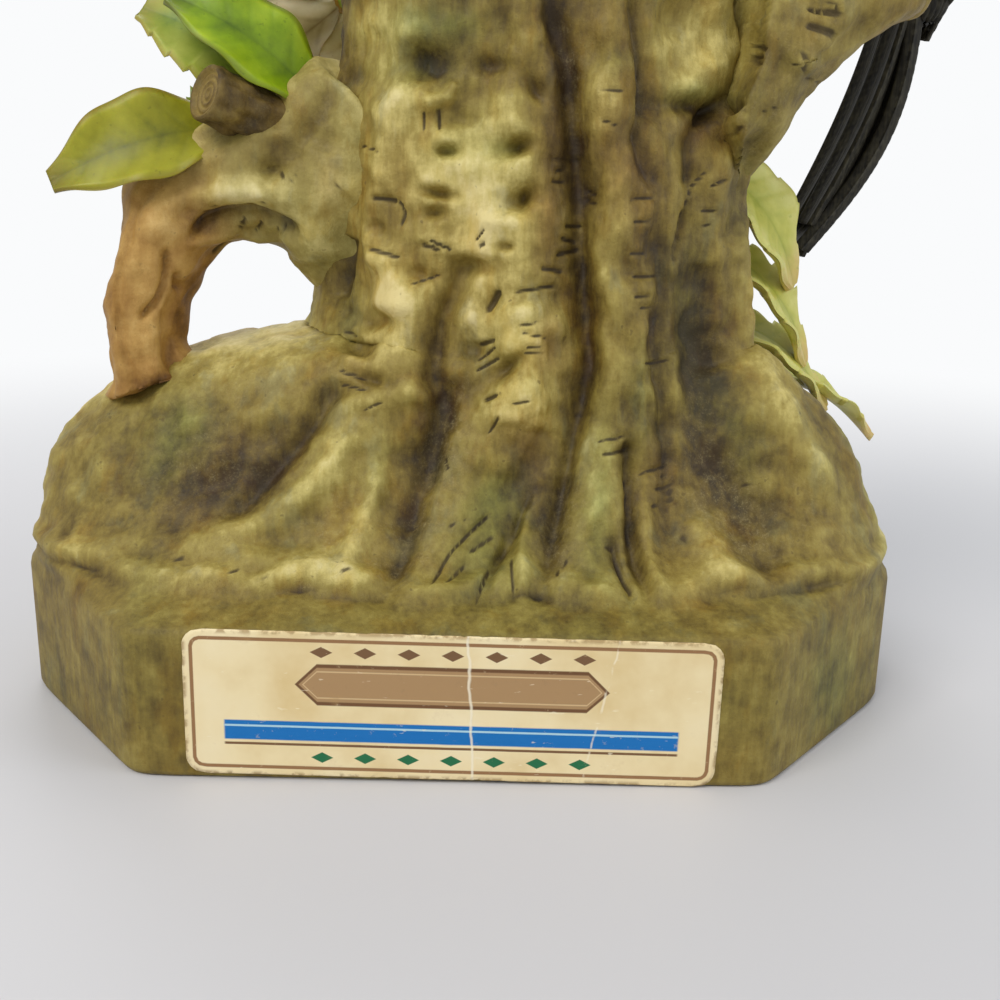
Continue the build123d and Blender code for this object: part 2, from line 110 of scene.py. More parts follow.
class Wire:
    """A socket of a node tree that Python's operators can work on."""
    __add__ = operator("ADD")
    __radd__ = operator("ADD", swapped=True)
    __sub__ = operator("SUBTRACT")
    __rsub__ = operator("SUBTRACT", swapped=True)
    __mul__ = operator("MULTIPLY")
    __rmul__ = operator("MULTIPLY", swapped=True)
    __truediv__ = operator("DIVIDE")
    __pow__ = operator("POWER")
    __abs__ = operator("ABSOLUTE")
    low = operator("MINIMUM")
    high = operator("MAXIMUM")
    wave = operator("SINE")
    whole = operator("FLOOR")

    def __init__(self, owner, socket):
        self.owner = owner
        self.socket = socket

    def other(self, output):
        """Another output of the same node, by its name."""
        return Wire(self.owner, self.socket.node.outputs[output])

    def held(self):
        """Kept between 0 and 1."""
        return self.low(1.0).high(0.0)

    def step(self, start, end):
        """0 before start, 1 after end, soft between."""
        return self.owner.node("MapRange", {"Value": self, "From Min": start, "From Max": end},
                               {"interpolation_type": "SMOOTHSTEP"})


class Nodes:
    """A node tree whose nodes are added by expressions."""

    def __init__(self, tree):
        self.tree = tree

    def plug(self, socket, value):
        if isinstance(value, Wire):
            self.tree.links.new(value.socket, socket)
        else:
            socket.default_value = value

    def node(self, kind, inputs=None, settings=None, out=0):
        """One node. A kind without the word Node in it is a shader node's."""
        node = self.tree.nodes.new(kind if "Node" in kind else "ShaderNode" + kind)
        for key, value in (settings or {}).items():
            if key == "stops":
                while len(node.color_ramp.elements) < len(value):
                    node.color_ramp.elements.new(1.0)
                for element, (at, colour) in zip(node.color_ramp.elements, value):
                    element.position = at
                    element.color = colour
            else:
                setattr(node, key, value)
        for key, value in (inputs or {}).items():
            match = [s for s in node.inputs if key in (s.identifier, s.name) and s.enabled]
            self.plug(match[0] if isinstance(key, str) else node.inputs[key], value)
        return Wire(self, node.outputs[out])


class Finish(Nodes):
    """A material, with the few ways of painting that this piece needs."""

    def __init__(self, name, roughness=0.6, specular=0.5, subsurface=0.0):
        self.material = bpy.data.materials.new(name)
        self.material.use_nodes = True
        super().__init__(self.material.node_tree)
        self.shader = self.tree.nodes["Principled BSDF"]
        self.shader.inputs["Roughness"].default_value = roughness
        self.shader.inputs["Specular IOR Level"].default_value = specular
        self.shader.inputs["Subsurface Weight"].default_value = subsurface
        self.shader.inputs["Subsurface Scale"].default_value = 0.002
        self.place = self.node("TexCoord", out="Object")

    def attribute(self, name):
        return self.node("Attribute", settings={"attribute_name": name}, out="Fac")

    def stretched(self, *scales):
        """Object coordinates with a scale along each axis, so that noise becomes streaks."""
        return self.node("Mapping", {"Vector": self.place, "Scale": scales})

    def noise(self, scale, detail=3.0, rough=0.55, place=None):
        where = place or self.place
        return self.node("TexNoise", {"Vector": where, "Scale": scale, "Detail": detail, "Roughness": rough})

    def ramp(self, value, stops):
        return self.node("ValToRGB", {"Fac": value}, {"stops": stops})

    def wash(self, tone, dark, plain, light):
        """A thin colour over the whole tone, from the recesses to the high places."""
        return self.ramp(tone, [(0.1, rgb(*dark)), (0.5, rgb(*plain)), (0.85, rgb(*light))])

    def blend(self, first, second, share):
        """The second colour over the first. A Mix node's third output is its colour."""
        return self.node("Mix", {"Factor_Float": share, "A_Color": first, "B_Color": second},
                         {"data_type": "RGBA"}, out=2)

    def shade(self, colour, roughness=None, height=None, depth=0.0002, strength=1.0):
        self.plug(self.shader.inputs["Base Color"], colour)
        if roughness is not None:
            self.plug(self.shader.inputs["Roughness"], roughness)
        if height is not None:
            bump = self.node("Bump", {"Height": height, "Distance": depth, "Strength": strength})
            self.plug(self.shader.inputs["Normal"], bump)
        return self.material


print("mid olive in linear values:", [round(c, 3) for c in rgb(140, 125, 75)])

# %% [markdown]
# The studio is a pale table in an even pale room, one broad soft lamp high on the left
# and weaker ones on the right and behind. The room's brightness for the camera comes
# from its own colour through Light Path, so it adds no light to the piece. Far from
# the piece the table turns into that same colour, which leaves no horizon line.

# %% Table, room and lamps
TABLE_REACH = 6.0  # metres
ROOM_COLOUR = rgb(250, 251, 252)
SKY_LIGHT = 0.62
FADE_START = 0.10  # metres from the piece
FADE_END = 0.50

table_mesh = bpy.data.meshes.new("table")
table_corners = [(x * TABLE_REACH, y * TABLE_REACH, 0) for x, y in ((-1, -1), (1, -1), (1, 1), (-1, 1))]
table_mesh.from_pydata(table_corners, [], [(0, 1, 2, 3)])
table = bpy.data.objects.new("table", table_mesh)
bpy.context.collection.objects.link(table)

cloth = Finish("table_paint", roughness=0.5, specular=0.3)
drift = cloth.noise(3.0, 2.0)
cloth.shade(cloth.ramp(drift, [(0.3, rgb(204, 204, 207)), (0.7, rgb(212, 211, 214))]))
far_away = cloth.node("VectorMath", {0: cloth.place}, {"operation": "LENGTH"}, out="Value")
seen = cloth.node("LightPath", out="Is Camera Ray")
seen = seen.high(seen.other("Is Glossy Ray")).high(seen.other("Is Transmission Ray"))
glow = cloth.node("Emission", {"Color": ROOM_COLOUR, "Strength": 1.0})
surface = Wire(cloth, cloth.shader.outputs[0])
mixed = cloth.node("MixShader", {0: seen * far_away.step(FADE_START, FADE_END), 1: surface, 2: glow})
cloth.plug(cloth.tree.nodes["Material Output"].inputs["Surface"], mixed)
table_mesh.materials.append(cloth.material)

world = bpy.data.worlds.new("studio")
bpy.context.scene.world = world
world.use_nodes = True
studio = Nodes(world.node_tree)
sky = studio.tree.nodes["Background"]
sky.inputs["Color"].default_value = (0.93, 0.95, 0.97, 1)
sky.inputs["Strength"].default_value = SKY_LIGHT
room = studio.node("Background", {"Color": ROOM_COLOUR})
camera_ray = studio.node("LightPath", out="Is Camera Ray")
choose = studio.node("MixShader", {0: camera_ray, 1: Wire(studio, sky.outputs[0]), 2: room})
studio.plug(studio.tree.nodes["World Output"].inputs["Surface"], choose)


def lamp(name, place, aim, size, watts, colour):
    """A square soft lamp at place, in metres, turned towards aim."""
    data = bpy.data.lights.new(name, "AREA")
    data.size = size
    data.energy = watts
    data.color = colour
    made = bpy.data.objects.new(name, data)
    bpy.context.collection.objects.link(made)
    made.location = place
    made.rotation_euler = (Vector(aim) - Vector(place)).to_track_quat("-Z", "Y").to_euler()
    return made


lamp("key", (-0.55, -0.75, 1.05), (0, 0, 0.10), 0.7, 9.0, (1.0, 0.97, 0.92))
lamp("side", (0.95, -0.35, 0.55), (0, 0, 0.10), 0.6, 3.0, (0.94, 0.97, 1.0))
lamp("back", (-0.2, 0.95, 0.9), (0, 0, 0.14), 0.7, 4.0, (1.0, 1.0, 1.0))
bpy.context.scene.view_settings.view_transform = "Standard"

# %% [markdown]
# The trunk, its rooted mound and the plinth were cast in one mould. Their form is a
# rule: the reach to each side at every height, a rounded outline through those four
# reaches, and valleys between the roots. The frame's solid has the same reaches. Its
# valleys wander and it has a burl, and here the carving adds both to a smooth body.

# %% The rule of the casting
foot_width = 165.0
foot_depth = 106.0
facet_width = 104.0
side_facet_depth = 32.0
plinth_height = 27.0
plinth_ledge = 4.5
side_ledge = 1.0
mound_height = 40.0
near_flare_height = 14.0
far_flare_height = 15.0
trunk_top = 234.0
trunk_width = 86.0
trunk_near_depth = 27.5
trunk_far_depth = 29.0
trunk_top_width = 56.0
trunk_top_depth = 48.0
trunk_offset = 14.0
top_offset = 8.0
flute_depth = 5.6
flute_fade = 0.62
valley_turns = (-153.0, -116.0, -78.0, -38.0, 2.0, 38.0, 74.0, 112.0, 150.0)
valley_spread = 15.0
valley_depth_shares = (0.75, 1.0, 1.0, 1.25, 0.8, 1.0, 0.9, 1.0, 0.85)


def smooth(t):
    t = np.clip(t, 0, 1)
    return t * t * (3 - 2 * t)


def mix(a, b, t):
    return a + (b - a) * t


def bell(gap, wide):
    """1 where there is no gap, falling softly towards 0 beyond the width."""
    return np.exp(-((gap / wide) ** 2))


def compass(turn):
    """The two shares of a direction in degrees."""
    return np.cos(np.radians(turn)), np.sin(np.radians(turn))


def dome(t, roundness, fall):
    """1 at the foot of a flare, 0 at its top."""
    return (1 - np.clip(t, 0, 1) ** roundness) ** fall


def trunk_rise(z):
    clear = plinth_height + mound_height
    return np.clip((z - clear) / (trunk_top - clear), 0, 1.3)


def centre_x(z):
    sway = trunk_offset * smooth((z - plinth_height) / mound_height)
    return sway + (top_offset - trunk_offset) * smooth(trunk_rise(z))


def surface_radius(turn, z, flutes=1.0):
    """Radius round the trunk's centre. turn in degrees, flutes scales the valleys."""
    c, s = compass(turn)
    climb = np.maximum(0, z - plinth_height)
    rise = trunk_rise(z)
    half = mix(trunk_width, trunk_top_width, rise) / 2
    near = mix(trunk_near_depth, trunk_top_depth / 2, rise)
    far = mix(trunk_far_depth, trunk_top_depth / 2, rise)
    ledge_x = foot_width / 2 - side_ledge
    ledge_y = foot_depth / 2 - plinth_ledge
    left = mix(half, ledge_x + centre_x(z), dome(climb / mound_height, 4, 1))
    right_reach = mix(half, ledge_x - centre_x(z), dome(climb / mound_height, 3.5, 1.2))
    near = near + (ledge_y - near) * np.exp(-climb / near_flare_height)
    far = far + (ledge_y - far) * np.exp(-climb / far_flare_height)
    power = mix(2.8, 2.15, smooth((z - plinth_height) / mound_height))
    half_x = np.where(c > 0, right_reach, left)
    half_y = np.where(s > 0, far, near)
    radius = (np.abs(c / half_x) ** power + np.abs(s / half_y) ** power) ** (-1 / power)
    cut = flute_depth * smooth((z - plinth_height) / near_flare_height) * mix(1, flute_fade, rise)
    for at, share in zip(valley_turns, valley_depth_shares):
        away = (turn - at + 180) % 360 - 180
        radius = radius - cut * share * flutes * bell(away, valley_spread)
    return radius


print("trunk radius towards the label at mid height:", round(float(surface_radius(-90.0, 150.0)), 1))

# %% [markdown]
# Carving is drawn as strokes and dents. A stroke is a line of pixels in the photograph's
# view with a half width there and a depth in millimetres; each point of the mesh finds
# its own pixel through the camera, so a mark lands where the eye sees it and turns
# with the surface. Marks that the view can't show are drawn on the unrolled wall.

# %% The carving tools
def through(points, steps=6):
    """A smooth line of steps parts between each two points, by Catmull-Rom."""
    p = np.array([points[0], *points, points[-1]], float)
    line = []
    for a, b, c, d in zip(p, p[1:], p[2:], p[3:]):
        for t in np.arange(steps) / steps:
            bend = 2 * a - 5 * b + 4 * c - d
            twist = 3 * b - a - 3 * c + d
            line.append(0.5 * (2 * b + (c - a) * t + bend * t ** 2 + twist * t ** 3))
    return np.array([*line, p[-1]])


def stroke(u, v, points, half_width, taper=0.2, steps=6):
    """1 on the line, falling to 0 beside it and towards its two ends. points may be a flat run."""
    points = np.reshape(points, (-1, 2)).astype(float)
    line = through(points, steps) if len(points) > 2 else points
    best = np.full(u.shape, 1e9)
    along = np.zeros(u.shape)
    for k, (a, b) in enumerate(zip(line, line[1:])):
        run = b - a
        t = np.clip(((u - a[0]) * run[0] + (v - a[1]) * run[1]) / (run @ run + 1e-9), 0, 1)
        gap = np.hypot(u - a[0] - t * run[0], v - a[1] - t * run[1])
        closer = gap < best
        best = np.where(closer, gap, best)
        along = np.where(closer, (k + t) / (len(line) - 1), along)
    ends = smooth(np.minimum(along, 1 - along) / taper + 0.35)
    return bell(best, half_width) * ends


def dent(u, v, x, y, wide, high, tilt=0.0, edge=2.0):
    """A soft oval. edge above 2 gives it a flatter floor and steeper sides."""
    c, s = math.cos(math.radians(tilt)), math.sin(math.radians(tilt))
    a = ((u - x) * c + (v - y) * s) / wide
    b = ((v - y) * c - (u - x) * s) / high
    return np.exp(-(np.hypot(a, b) ** edge))


def pressed(u, v, grooves, ridges, hollows, bumps, hollow_gain=1.0):
    """The height in mm that strokes and ovals give a surface."""
    shape = np.zeros(u.shape)
    for line, half_width, depth in grooves:
        shape -= depth * stroke(u, v, line, half_width)
    for line, half_width, depth in ridges:
        shape += depth * stroke(u, v, line, half_width)
    for x, y, wide, high, depth, *form in hollows:
        shape -= hollow_gain * depth * dent(u, v, x, y, wide, high, *form)
    for x, y, wide, high, depth, *form in bumps:
        shape += depth * dent(u, v, x, y, wide, high, *form)
    return shape


def knifed(u, v, cuts):
    """The depth in mm of knife cuts, and how much paint they hold, 0 to 1."""
    depths = np.zeros(u.shape)
    paint = np.zeros(u.shape)
    for line, half_width, depth in cuts:
        mark = stroke(u, v, line, half_width, taper=0.15)
        depths = np.maximum(depths, depth * mark)
        paint = np.maximum(paint, mark)
    return depths, paint


sample = stroke(np.array([0.0, 3.0]), np.zeros(2), [(-9, 0), (9, 0)], half_width=3.0)
print("a stroke is", sample, "on its line and beside it")

# %% [markdown]
# The body is one closed skin: rings of points from the foot up the plinth, over the
# ledge, up the trunk, across the shoulder and down into the bore. A grid of turn and
# height keeps the carving even, and it is finest where the photograph shows marks.

# %% Rings of the body
FINE = 0.7  # degrees between points
SOFT = 1.2
COARSE = 1.8
turns = np.concatenate([np.arange(-180, -165, SOFT), np.arange(-165, -50, FINE),
                        np.arange(-50, 0, SOFT), np.arange(0, 180, COARSE)])
heights = np.concatenate([np.arange(27, 45, 0.7), np.arange(45, 55, 0.5), np.arange(55, 67, 0.36),
                          np.arange(67, 122, 0.48), np.arange(122, trunk_top, 1.6), [trunk_top]])
FLUTE_SHARE = 0.75  # the rest of each valley comes from the carved strokes
neck_radius = 14.5
neck_height = 17.0
bore_radius = 9.5
bore_floor = 190.0
neck_x = float(centre_x(trunk_top))
around = np.stack(compass(turns))


def plinth_radius(turn, inset=0.0):
    """The eight-sided plinth with softly rounded corners."""
    side, front = foot_width / 2, foot_depth / 2
    facet, cheek = facet_width / 2, side_facet_depth / 2
    slant = math.degrees(math.atan2(side - facet, front - cheek))
    slant_reach = side * math.cos(math.radians(slant)) + cheek * math.sin(math.radians(slant))
    faces = [(0, side), (180, side), (90, front), (-90, front), (slant, slant_reach),
             (-slant, slant_reach), (180 - slant, slant_reach), (slant - 180, slant_reach)]
    corner = 55.0  # how sharply two faces meet
    total = sum((np.maximum(0, np.cos(np.radians(turn - at))) / (reach - inset)) ** corner
                for at, reach in faces)
    return total ** (-1 / corner)


def ring(radius, x, z):
    return np.stack([x + radius * around[0], radius * around[1], np.full(len(turns), z)], axis=1)


rings = [ring(plinth_radius(turns, inset), 0, z) for inset, z in
         ((30, 0), (1.2, 0), (0.35, 0.35), (0, 1.2), (0, 5), (0, 10), (0, 15), (0, 19), (0, 22),
          (0, 24.2), (0.3, 25.6), (1.0, 26.6), (2.0, 27))]
plinth_rings = len(rings)
rings += [ring(surface_radius(turns, z, FLUTE_SHARE), float(centre_x(z)), z) for z in heights]
wall_rings = len(rings)
neck_top = trunk_top + neck_height
rings += [ring(np.full(len(turns), r), neck_x, z) for r, z in (
    (19, trunk_top), (neck_radius, trunk_top), (neck_radius, 242), (neck_radius, neck_top - 1),
    (neck_radius - 1, neck_top), (bore_radius + 1, neck_top), (bore_radius, neck_top - 1),
    (bore_radius, 230), (bore_radius, bore_floor))]
body = np.array(rings)

LEDGE_ROUNDS = 10
for _ in range(LEDGE_ROUNDS):  # the wet clay ran the mound softly into the plinth's edge
    inner = body[plinth_rings - 3:plinth_rings + 7]
    inner[1:-1] = (inner[:-2] + 2 * inner[1:-1] + inner[2:]) / 4
print("rings and points:", body.shape, "triangles:", 2 * body.shape[0] * body.shape[1])


def grid_normals(grid):
    """Outward normals of rings of points that close round on themselves."""
    round_way = np.roll(grid, -1, axis=1) - np.roll(grid, 1, axis=1)
    up_way = np.gradient(grid, axis=0)
    normals = np.cross(round_way, up_way)
    return normals / (np.linalg.norm(normals, axis=2, keepdims=True) + 1e-9)


def raised(grid, amount, way=None):
    """A grid moved along its normals, or another way, by an amount in mm at each point."""
    return grid + (grid_normals(grid) if way is None else way) * amount[:, :, None]


def in_sight(grid, softness):
    """Pixel columns and rows, and how well the photograph shows each point, 0 to 1."""
    u, v = to_photo(grid)
    sight = np.einsum("ijk,ijk->ij", grid_normals(grid), EYE - grid) / np.linalg.norm(EYE - grid, axis=2)
    return u, v, smooth((sight - 0.02) / softness) * smooth((v + 40) / 50)


column, row, in_view = in_sight(body, 0.25)
print("share of the body that the photograph shows:", round(float(in_view.mean()), 2))

# %% [markdown]
# First the big forms that the modeller pushed into the clay: the grooves between
# the roots, the ridges beside them and the two hollows high on the trunk.

# %% Grooves and ridges of the labelled side
grooves = [  # line as x, y, x, y in pixels, half width in pixels, depth in mm
    ([548, -60, 552, 0, 568, 70, 572, 120, 577, 180, 579, 230, 586, 330,
      589, 355, 583, 390, 573, 430, 562, 480, 550, 540, 540, 604], 10, 2.4),
    ([470, 262, 455, 295, 441, 330, 435, 370, 444, 400, 440, 430,
      425, 480, 410, 520, 398, 560, 384, 604], 13, 2.6),
    ([700, 262, 699, 310, 705, 400, 720, 470, 745, 510, 765, 540], 26, 2.2),
    ([628, 440, 631, 480, 634, 550, 652, 606], 8, 2.2),
    ([612, 540, 618, 565, 632, 600], 5, 1.4),
    ([340, 380, 318, 410, 298, 440, 268, 475, 225, 520], 12, 2.4),
    ([738, 92, 712, 116, 692, 140, 690, 185], 8, 2.0),
    ([636, -40, 638, 10, 645, 60, 650, 100, 640, 140, 655, 190], 9, 2.2),
    ([762, -10, 752, 60, 735, 92], 9, 1.4),
    ([690, 200, 678, 235, 672, 262], 3, 1.0),
    ([352, 236, 346, 262, 336, 300], 10, 2.6),
    ([528, 495, 512, 540, 495, 560, 487, 604], 5, 1.2),
    ([655, 200, 662, 280, 655, 350, 668, 430, 664, 500, 676, 560], 7, 1.4),
    ([470, 600, 500, 560, 506, 530], 4, 0.8),
    ([760, 130, 742, 200, 735, 280, 738, 350], 10, 1.6),
]
ridges = [
    ([380, 470, 365, 520, 350, 560, 345, 596], 12, 2.0),
    ([352, 430, 320, 480, 270, 515, 205, 540], 13, 1.6),
    ([527, 505, 522, 560, 524, 600], 7, 1.3),
    ([610, -20, 608, 60, 612, 160, 612, 250, 612, 340, 606, 430, 596, 510, 585, 560], 18, 1.3),
    ([470, 120, 480, 200, 478, 260], 40, 1.6),
    ([395, 100, 378, 160, 376, 230, 400, 300, 395, 360], 18, 1.8),
    ([520, 300, 528, 370, 520, 430], 26, 1.5),
    ([640, 500, 648, 560, 662, 604], 8, 1.4),
    ([425, 105, 446, 96, 456, 82], 7, 1.5),
    ([660, 130, 668, 220, 670, 330, 680, 420], 11, 1.0),
    ([780, 170, 760, 260, 762, 340, 790, 430, 840, 500], 20, 1.8),
    ([690, 520, 720, 560, 745, 600], 16, 1.5),
    ([175, 540, 260, 560, 340, 575], 14, 0.8),
]
hollows = [  # x, y, half width, half height in pixels, depth in mm, then any tilt and flatness
    (424, 62, 30, 20, 2.1, 0, 2.6), (447, 151, 12, 7, 1.7, 8, 2.4), (517, 147, 17, 9, 2.0, -20, 2.6),
    (520, 199, 17, 12, 2.3, -25, 2.6), (438, 193, 17, 6, 1.4, 12, 2.4), (436, 213, 11, 7, 1.3, 0, 2.4),
    (507, 247, 8, 5, 0.9, 0, 2.2), (460, 118, 14, 12, 0.9, 30), (538, 90, 16, 10, 1.4, 60, 2.2),
    (492, 66, 22, 9, 0.8), (380, 227, 6, 6, 0.7, 0, 2.2), (470, 266, 22, 9, 1.0, 6),
    (421, 275, 20, 8, 0.8, 10), (470, 350, 12, 9, 0.9), (498, 372, 16, 11, 0.9, -30),
    (512, 363, 14, 8, 1.0, -35), (388, 320, 14, 10, 1.0, 20), (360, 352, 12, 8, 1.1),
    (372, 378, 14, 7, 1.0, 20), (700, 105, 34, 10, 1.6, 5), (598, 50, 12, 20, 0.8), (596, 200, 14, 22, 0.7),
    (625, 262, 14, 20, 0.7), (716, 357, 14, 10, 0.7, 0, 2.2), (410, 452, 18, 14, 0.9),
    (260, 440, 26, 14, 0.9, -30), (225, 480, 30, 12, 0.8, -20), (600, 300, 10, 26, 0.6),
    (700, 30, 34, 36, 1.5, 0, 3.0), (800, 59, 5, 5, 1.3, 0, 2.4), (770, 560, 22, 18, 1.2, 20),
    (820, 590, 18, 30, 0.9, 10), (460, 575, 16, 10, 0.6, -40),
]
bumps = [
    (800, 59, 13, 12, 2.0, 0, 4.0), (405, 102, 22, 16, 1.2, -10), (505, 110, 26, 22, 1.4, 0, 2.2),
    (472, 172, 14, 16, 0.9), (387, 175, 14, 18, 1.2), (398, 308, 20, 12, 1.4, 10),
    (372, 335, 16, 8, 1.1, 20), (470, 318, 13, 14, 1.5, 10), (355, 366, 12, 7, 1.1, 15),
    (384, 356, 9, 7, 0.9), (410, 392, 16, 14, 1.2), (348, 405, 16, 8, 1.0, -20), (608, 110, 20, 30, 1.2),
    (624, 170, 14, 18, 0.9), (606, 288, 15, 22, 1.2), (650, 215, 9, 20, 0.7), (500, 410, 20, 14, 0.9),
    (560, 330, 9, 12, 1.0), (810, 50, 26, 30, 1.6, 20), (432, 240, 18, 6, 0.6, 10), (505, 222, 20, 9, 0.9),
    (290, 470, 30, 10, 1.0, -35), (445, 460, 10, 30, 0.8, 12), (380, 260, 12, 10, 0.9),
]
HOLLOW_GAIN = 1.85  # the hollows were cut deeper than they were first measured
ARCH_TURN = 183.0  # degrees, where the arch leaves the trunk
ARCH_SPREAD = 27.0
WAIST_DEPTH = 2.6  # mm, above the arch, where the trunk narrows
FILLET_HEIGHT = 2.8  # mm, below it, where the mound runs up the wall
form = pressed(column, row, grooves, ridges, hollows, bumps, HOLLOW_GAIN) * in_view
left_side = bell((turns - ARCH_TURN + 180) % 360 - 180, ARCH_SPREAD)[None, :]
form -= WAIST_DEPTH * left_side * smooth((body[:, :, 2] - 108) / 10)
form += FILLET_HEIGHT * left_side * bell(body[:, :, 2] - 64, 6.5)
print("carved from", round(float(form.min()), 1), "to", round(float(form.max()), 1), "mm")

# %% [markdown]
# Then the quick marks of the modelling knife: short cuts across the bark, some in
# pairs, and long thin lines that run down the roots. Paint gathered in them, so each
# cut also darkens the colour, through its own attribute on the mesh.

# %% Knife cuts of the labelled side
cut_sizes = {  # half width in pixels and depth in mm: lines as x, y, x, y and so on
    (1.0, 0.4): [(443, 528, 466, 520)],
    (1.2, 0.5): [(632, 278, 662, 275), (603, 546, 614, 547)],
    (1.3, 0.5): [(366, 146, 388, 152), (360, 168, 372, 172)],
    (1.3, 0.6): [(522, 333, 546, 338), (526, 347, 540, 346), (524, 353, 544, 354), (760, 113, 776, 107)],
    (1.4, 0.5): [
        (512, 404, 526, 400), (600, 90, 622, 92), (601, 120, 617, 126), (222, 568, 245, 580),
        (365, 410, 382, 402)],
    (1.4, 0.6): [
        (424, 112, 425, 132), (412, 284, 440, 275), (518, 326, 536, 322), (640, 308, 655, 306),
        (568, 560, 554, 576), (812, 2, 842, 4), (700, 210, 716, 211), (701, 227, 713, 224),
        (822, 84, 802, 76), (318, 240, 332, 243)],
    (1.4, 0.7): [
        (489, 433, 500, 417), (628, 476, 630, 545), (672, 250, 682, 215, 692, 190, 706, 170),
        (664, 470, 690, 560)],
    (1.5, 0.5): [(444, 455, 448, 470)],
    (1.5, 0.6): [(650, 507, 672, 500), (300, 150, 318, 158), (322, 205, 336, 212), (346, 330, 362, 336)],
    (1.5, 0.7): [
        (399, 200, 403, 212, 401, 226), (632, 222, 652, 220), (740, 127, 728, 142),
        (338, 382, 366, 391)],
    (1.6, 0.6): [(262, 583, 286, 587), (742, 480, 760, 486)],
    (1.6, 0.7): [
        (478, 240, 490, 230), (477, 360, 496, 347), (476, 371, 498, 357), (556, 172, 568, 168),
        (585, 190, 596, 196), (584, 200, 597, 205), (630, 253, 650, 253), (634, 297, 650, 295),
        (644, 364, 668, 360), (640, 474, 668, 466), (648, 492, 674, 484), (628, 200, 654, 197),
        (511, 560, 514, 594), (340, 372, 364, 379)],
    (1.6, 0.8): [(552, 159, 582, 160), (598, 442, 624, 437)],
    (1.7, 0.8): [(614, 555, 632, 596)],
    (1.8, 0.6): [(172, 556, 192, 566)],
    (1.8, 0.7): [(336, 574, 358, 584)],
    (1.8, 0.8): [(552, 180, 566, 183), (636, 277, 651, 277), (742, 95, 747, 112), (709, 187, 727, 179)],
    (1.8, 0.9): [
        (430, 240, 452, 250), (791, 55, 796, 50, 804, 51), (808, 55, 810, 63), (807, 68, 798, 70),
        (792, 66, 790, 60)],
    (1.8, 1.0): [(515, 292, 556, 286)],
    (1.9, 0.8): [(494, 535, 484, 542, 471, 550), (467, 561, 457, 570, 446, 583)],
    (1.9, 0.9): [(601, 456, 632, 449), (492, 513, 462, 540, 445, 560, 432, 584)],
    (2.0, 0.8): [(438, 108, 440, 130)],
    (2.0, 0.9): [(378, 249, 402, 258), (489, 566, 482, 585, 475, 604)],
    (2.2, 0.8): [(482, 247, 490, 243)],
    (2.2, 0.9): [(541, 268, 564, 272)],
    (2.2, 1.0): [(421, 244, 440, 250), (562, 238, 576, 243)],
    (2.4, 0.9): [(478, 345, 496, 340)],
    (2.4, 1.0): [
        (380, 198, 398, 201), (486, 401, 499, 395), (566, 226, 580, 227), (558, 255, 578, 250),
        (798, 58, 802, 62)],
    (3.0, 1.2): [(808, 11, 842, 14)],
    (3.4, 1.3): [(753, 44, 763, 46), (746, 55, 757, 58), (806, 26, 832, 33)],
    (4.0, 1.1): [(488, 312, 500, 290)],
    (5.0, 1.5): [(720, 108, 700, 122)],
}


def cut_list(sizes):
    """Each line with its half width and depth."""
    return [(line, *size) for size, lines in sizes.items() for line in lines]


cuts = cut_list(cut_sizes)
cut_depth, cut_paint = [share * in_view for share in knifed(column, row, cuts)]
print(len(cuts), "knife cuts")

# %% [markdown]
# The photograph stops at half the trunk's height and shows one side. The rest carries
# the same kinds of marks, drawn on the unrolled wall with a fixed seed: root grooves
# on the mound, long bark grooves, dents, swellings and knife cuts.

# %% Marks where the photograph can't see
seeded = np.random.default_rng(11)
MM_PER_DEGREE = 0.62  # of turn, on the wall
wall_u = np.broadcast_to(turns * MM_PER_DEGREE, column.shape)
wall_v = body[:, :, 2]
on_wall = smooth((wall_v - 27.5) / 3) * (np.arange(len(body)) < wall_rings)[:, None]
unseen = (1 - in_view) * on_wall


def somewhere(low=29.0, high=230.0):
    """A point of the unrolled wall that the photograph doesn't show."""
    z = seeded.uniform(low, high)
    turn = seeded.uniform(4, 174) if z < 122 else seeded.uniform(-174, 174)
    return turn * MM_PER_DEGREE, z


far_form = np.zeros(column.shape)
far_cuts = np.zeros(column.shape)
for turn in np.arange(8, 176, 12.5):
    foot, lean, tall = turn * MM_PER_DEGREE, seeded.uniform(-6, 6), seeded.uniform(58, 92)
    line = [(foot + lean, 27), (foot + lean * 0.4, 42), (foot, 56), (foot - lean * 0.2, tall)]
    far_form -= seeded.uniform(1.2, 2.2) * stroke(wall_u, wall_v, line, seeded.uniform(1.4, 2.6))
for turn in np.arange(-172, 176, 14.5):
    low = 122 if turn < 4 else 62
    u = turn * MM_PER_DEGREE
    line = [(u + seeded.uniform(-3, 3), z) for z in np.linspace(low, 240, 7)]
    far_form -= seeded.uniform(1.0, 2.4) * stroke(wall_u, wall_v, line, seeded.uniform(1.5, 2.8), taper=0.1)
for _ in range(130):
    u, v = somewhere(60)
    wide, high = seeded.uniform(1.6, 4.2, 2)
    depth = seeded.choice([-1, 1]) * seeded.uniform(0.6, 1.7)
    far_form += depth * dent(wall_u, wall_v, u, v, wide, high, seeded.uniform(-40, 40), 2.3)
for _ in range(170):
    u, v = somewhere(60)
    run, slope = seeded.uniform(1.4, 3.2), seeded.uniform(-0.5, 0.5)
    mark = stroke(wall_u, wall_v, [(u - run, v - slope), (u + run, v + slope)], 0.55, taper=0.15)
    far_cuts = np.maximum(far_cuts, mark)
form = form * on_wall + far_form * unseen
cut_paint = cut_paint * on_wall + far_cuts * unseen
cut_depth = cut_depth * on_wall + 0.9 * far_cuts * unseen


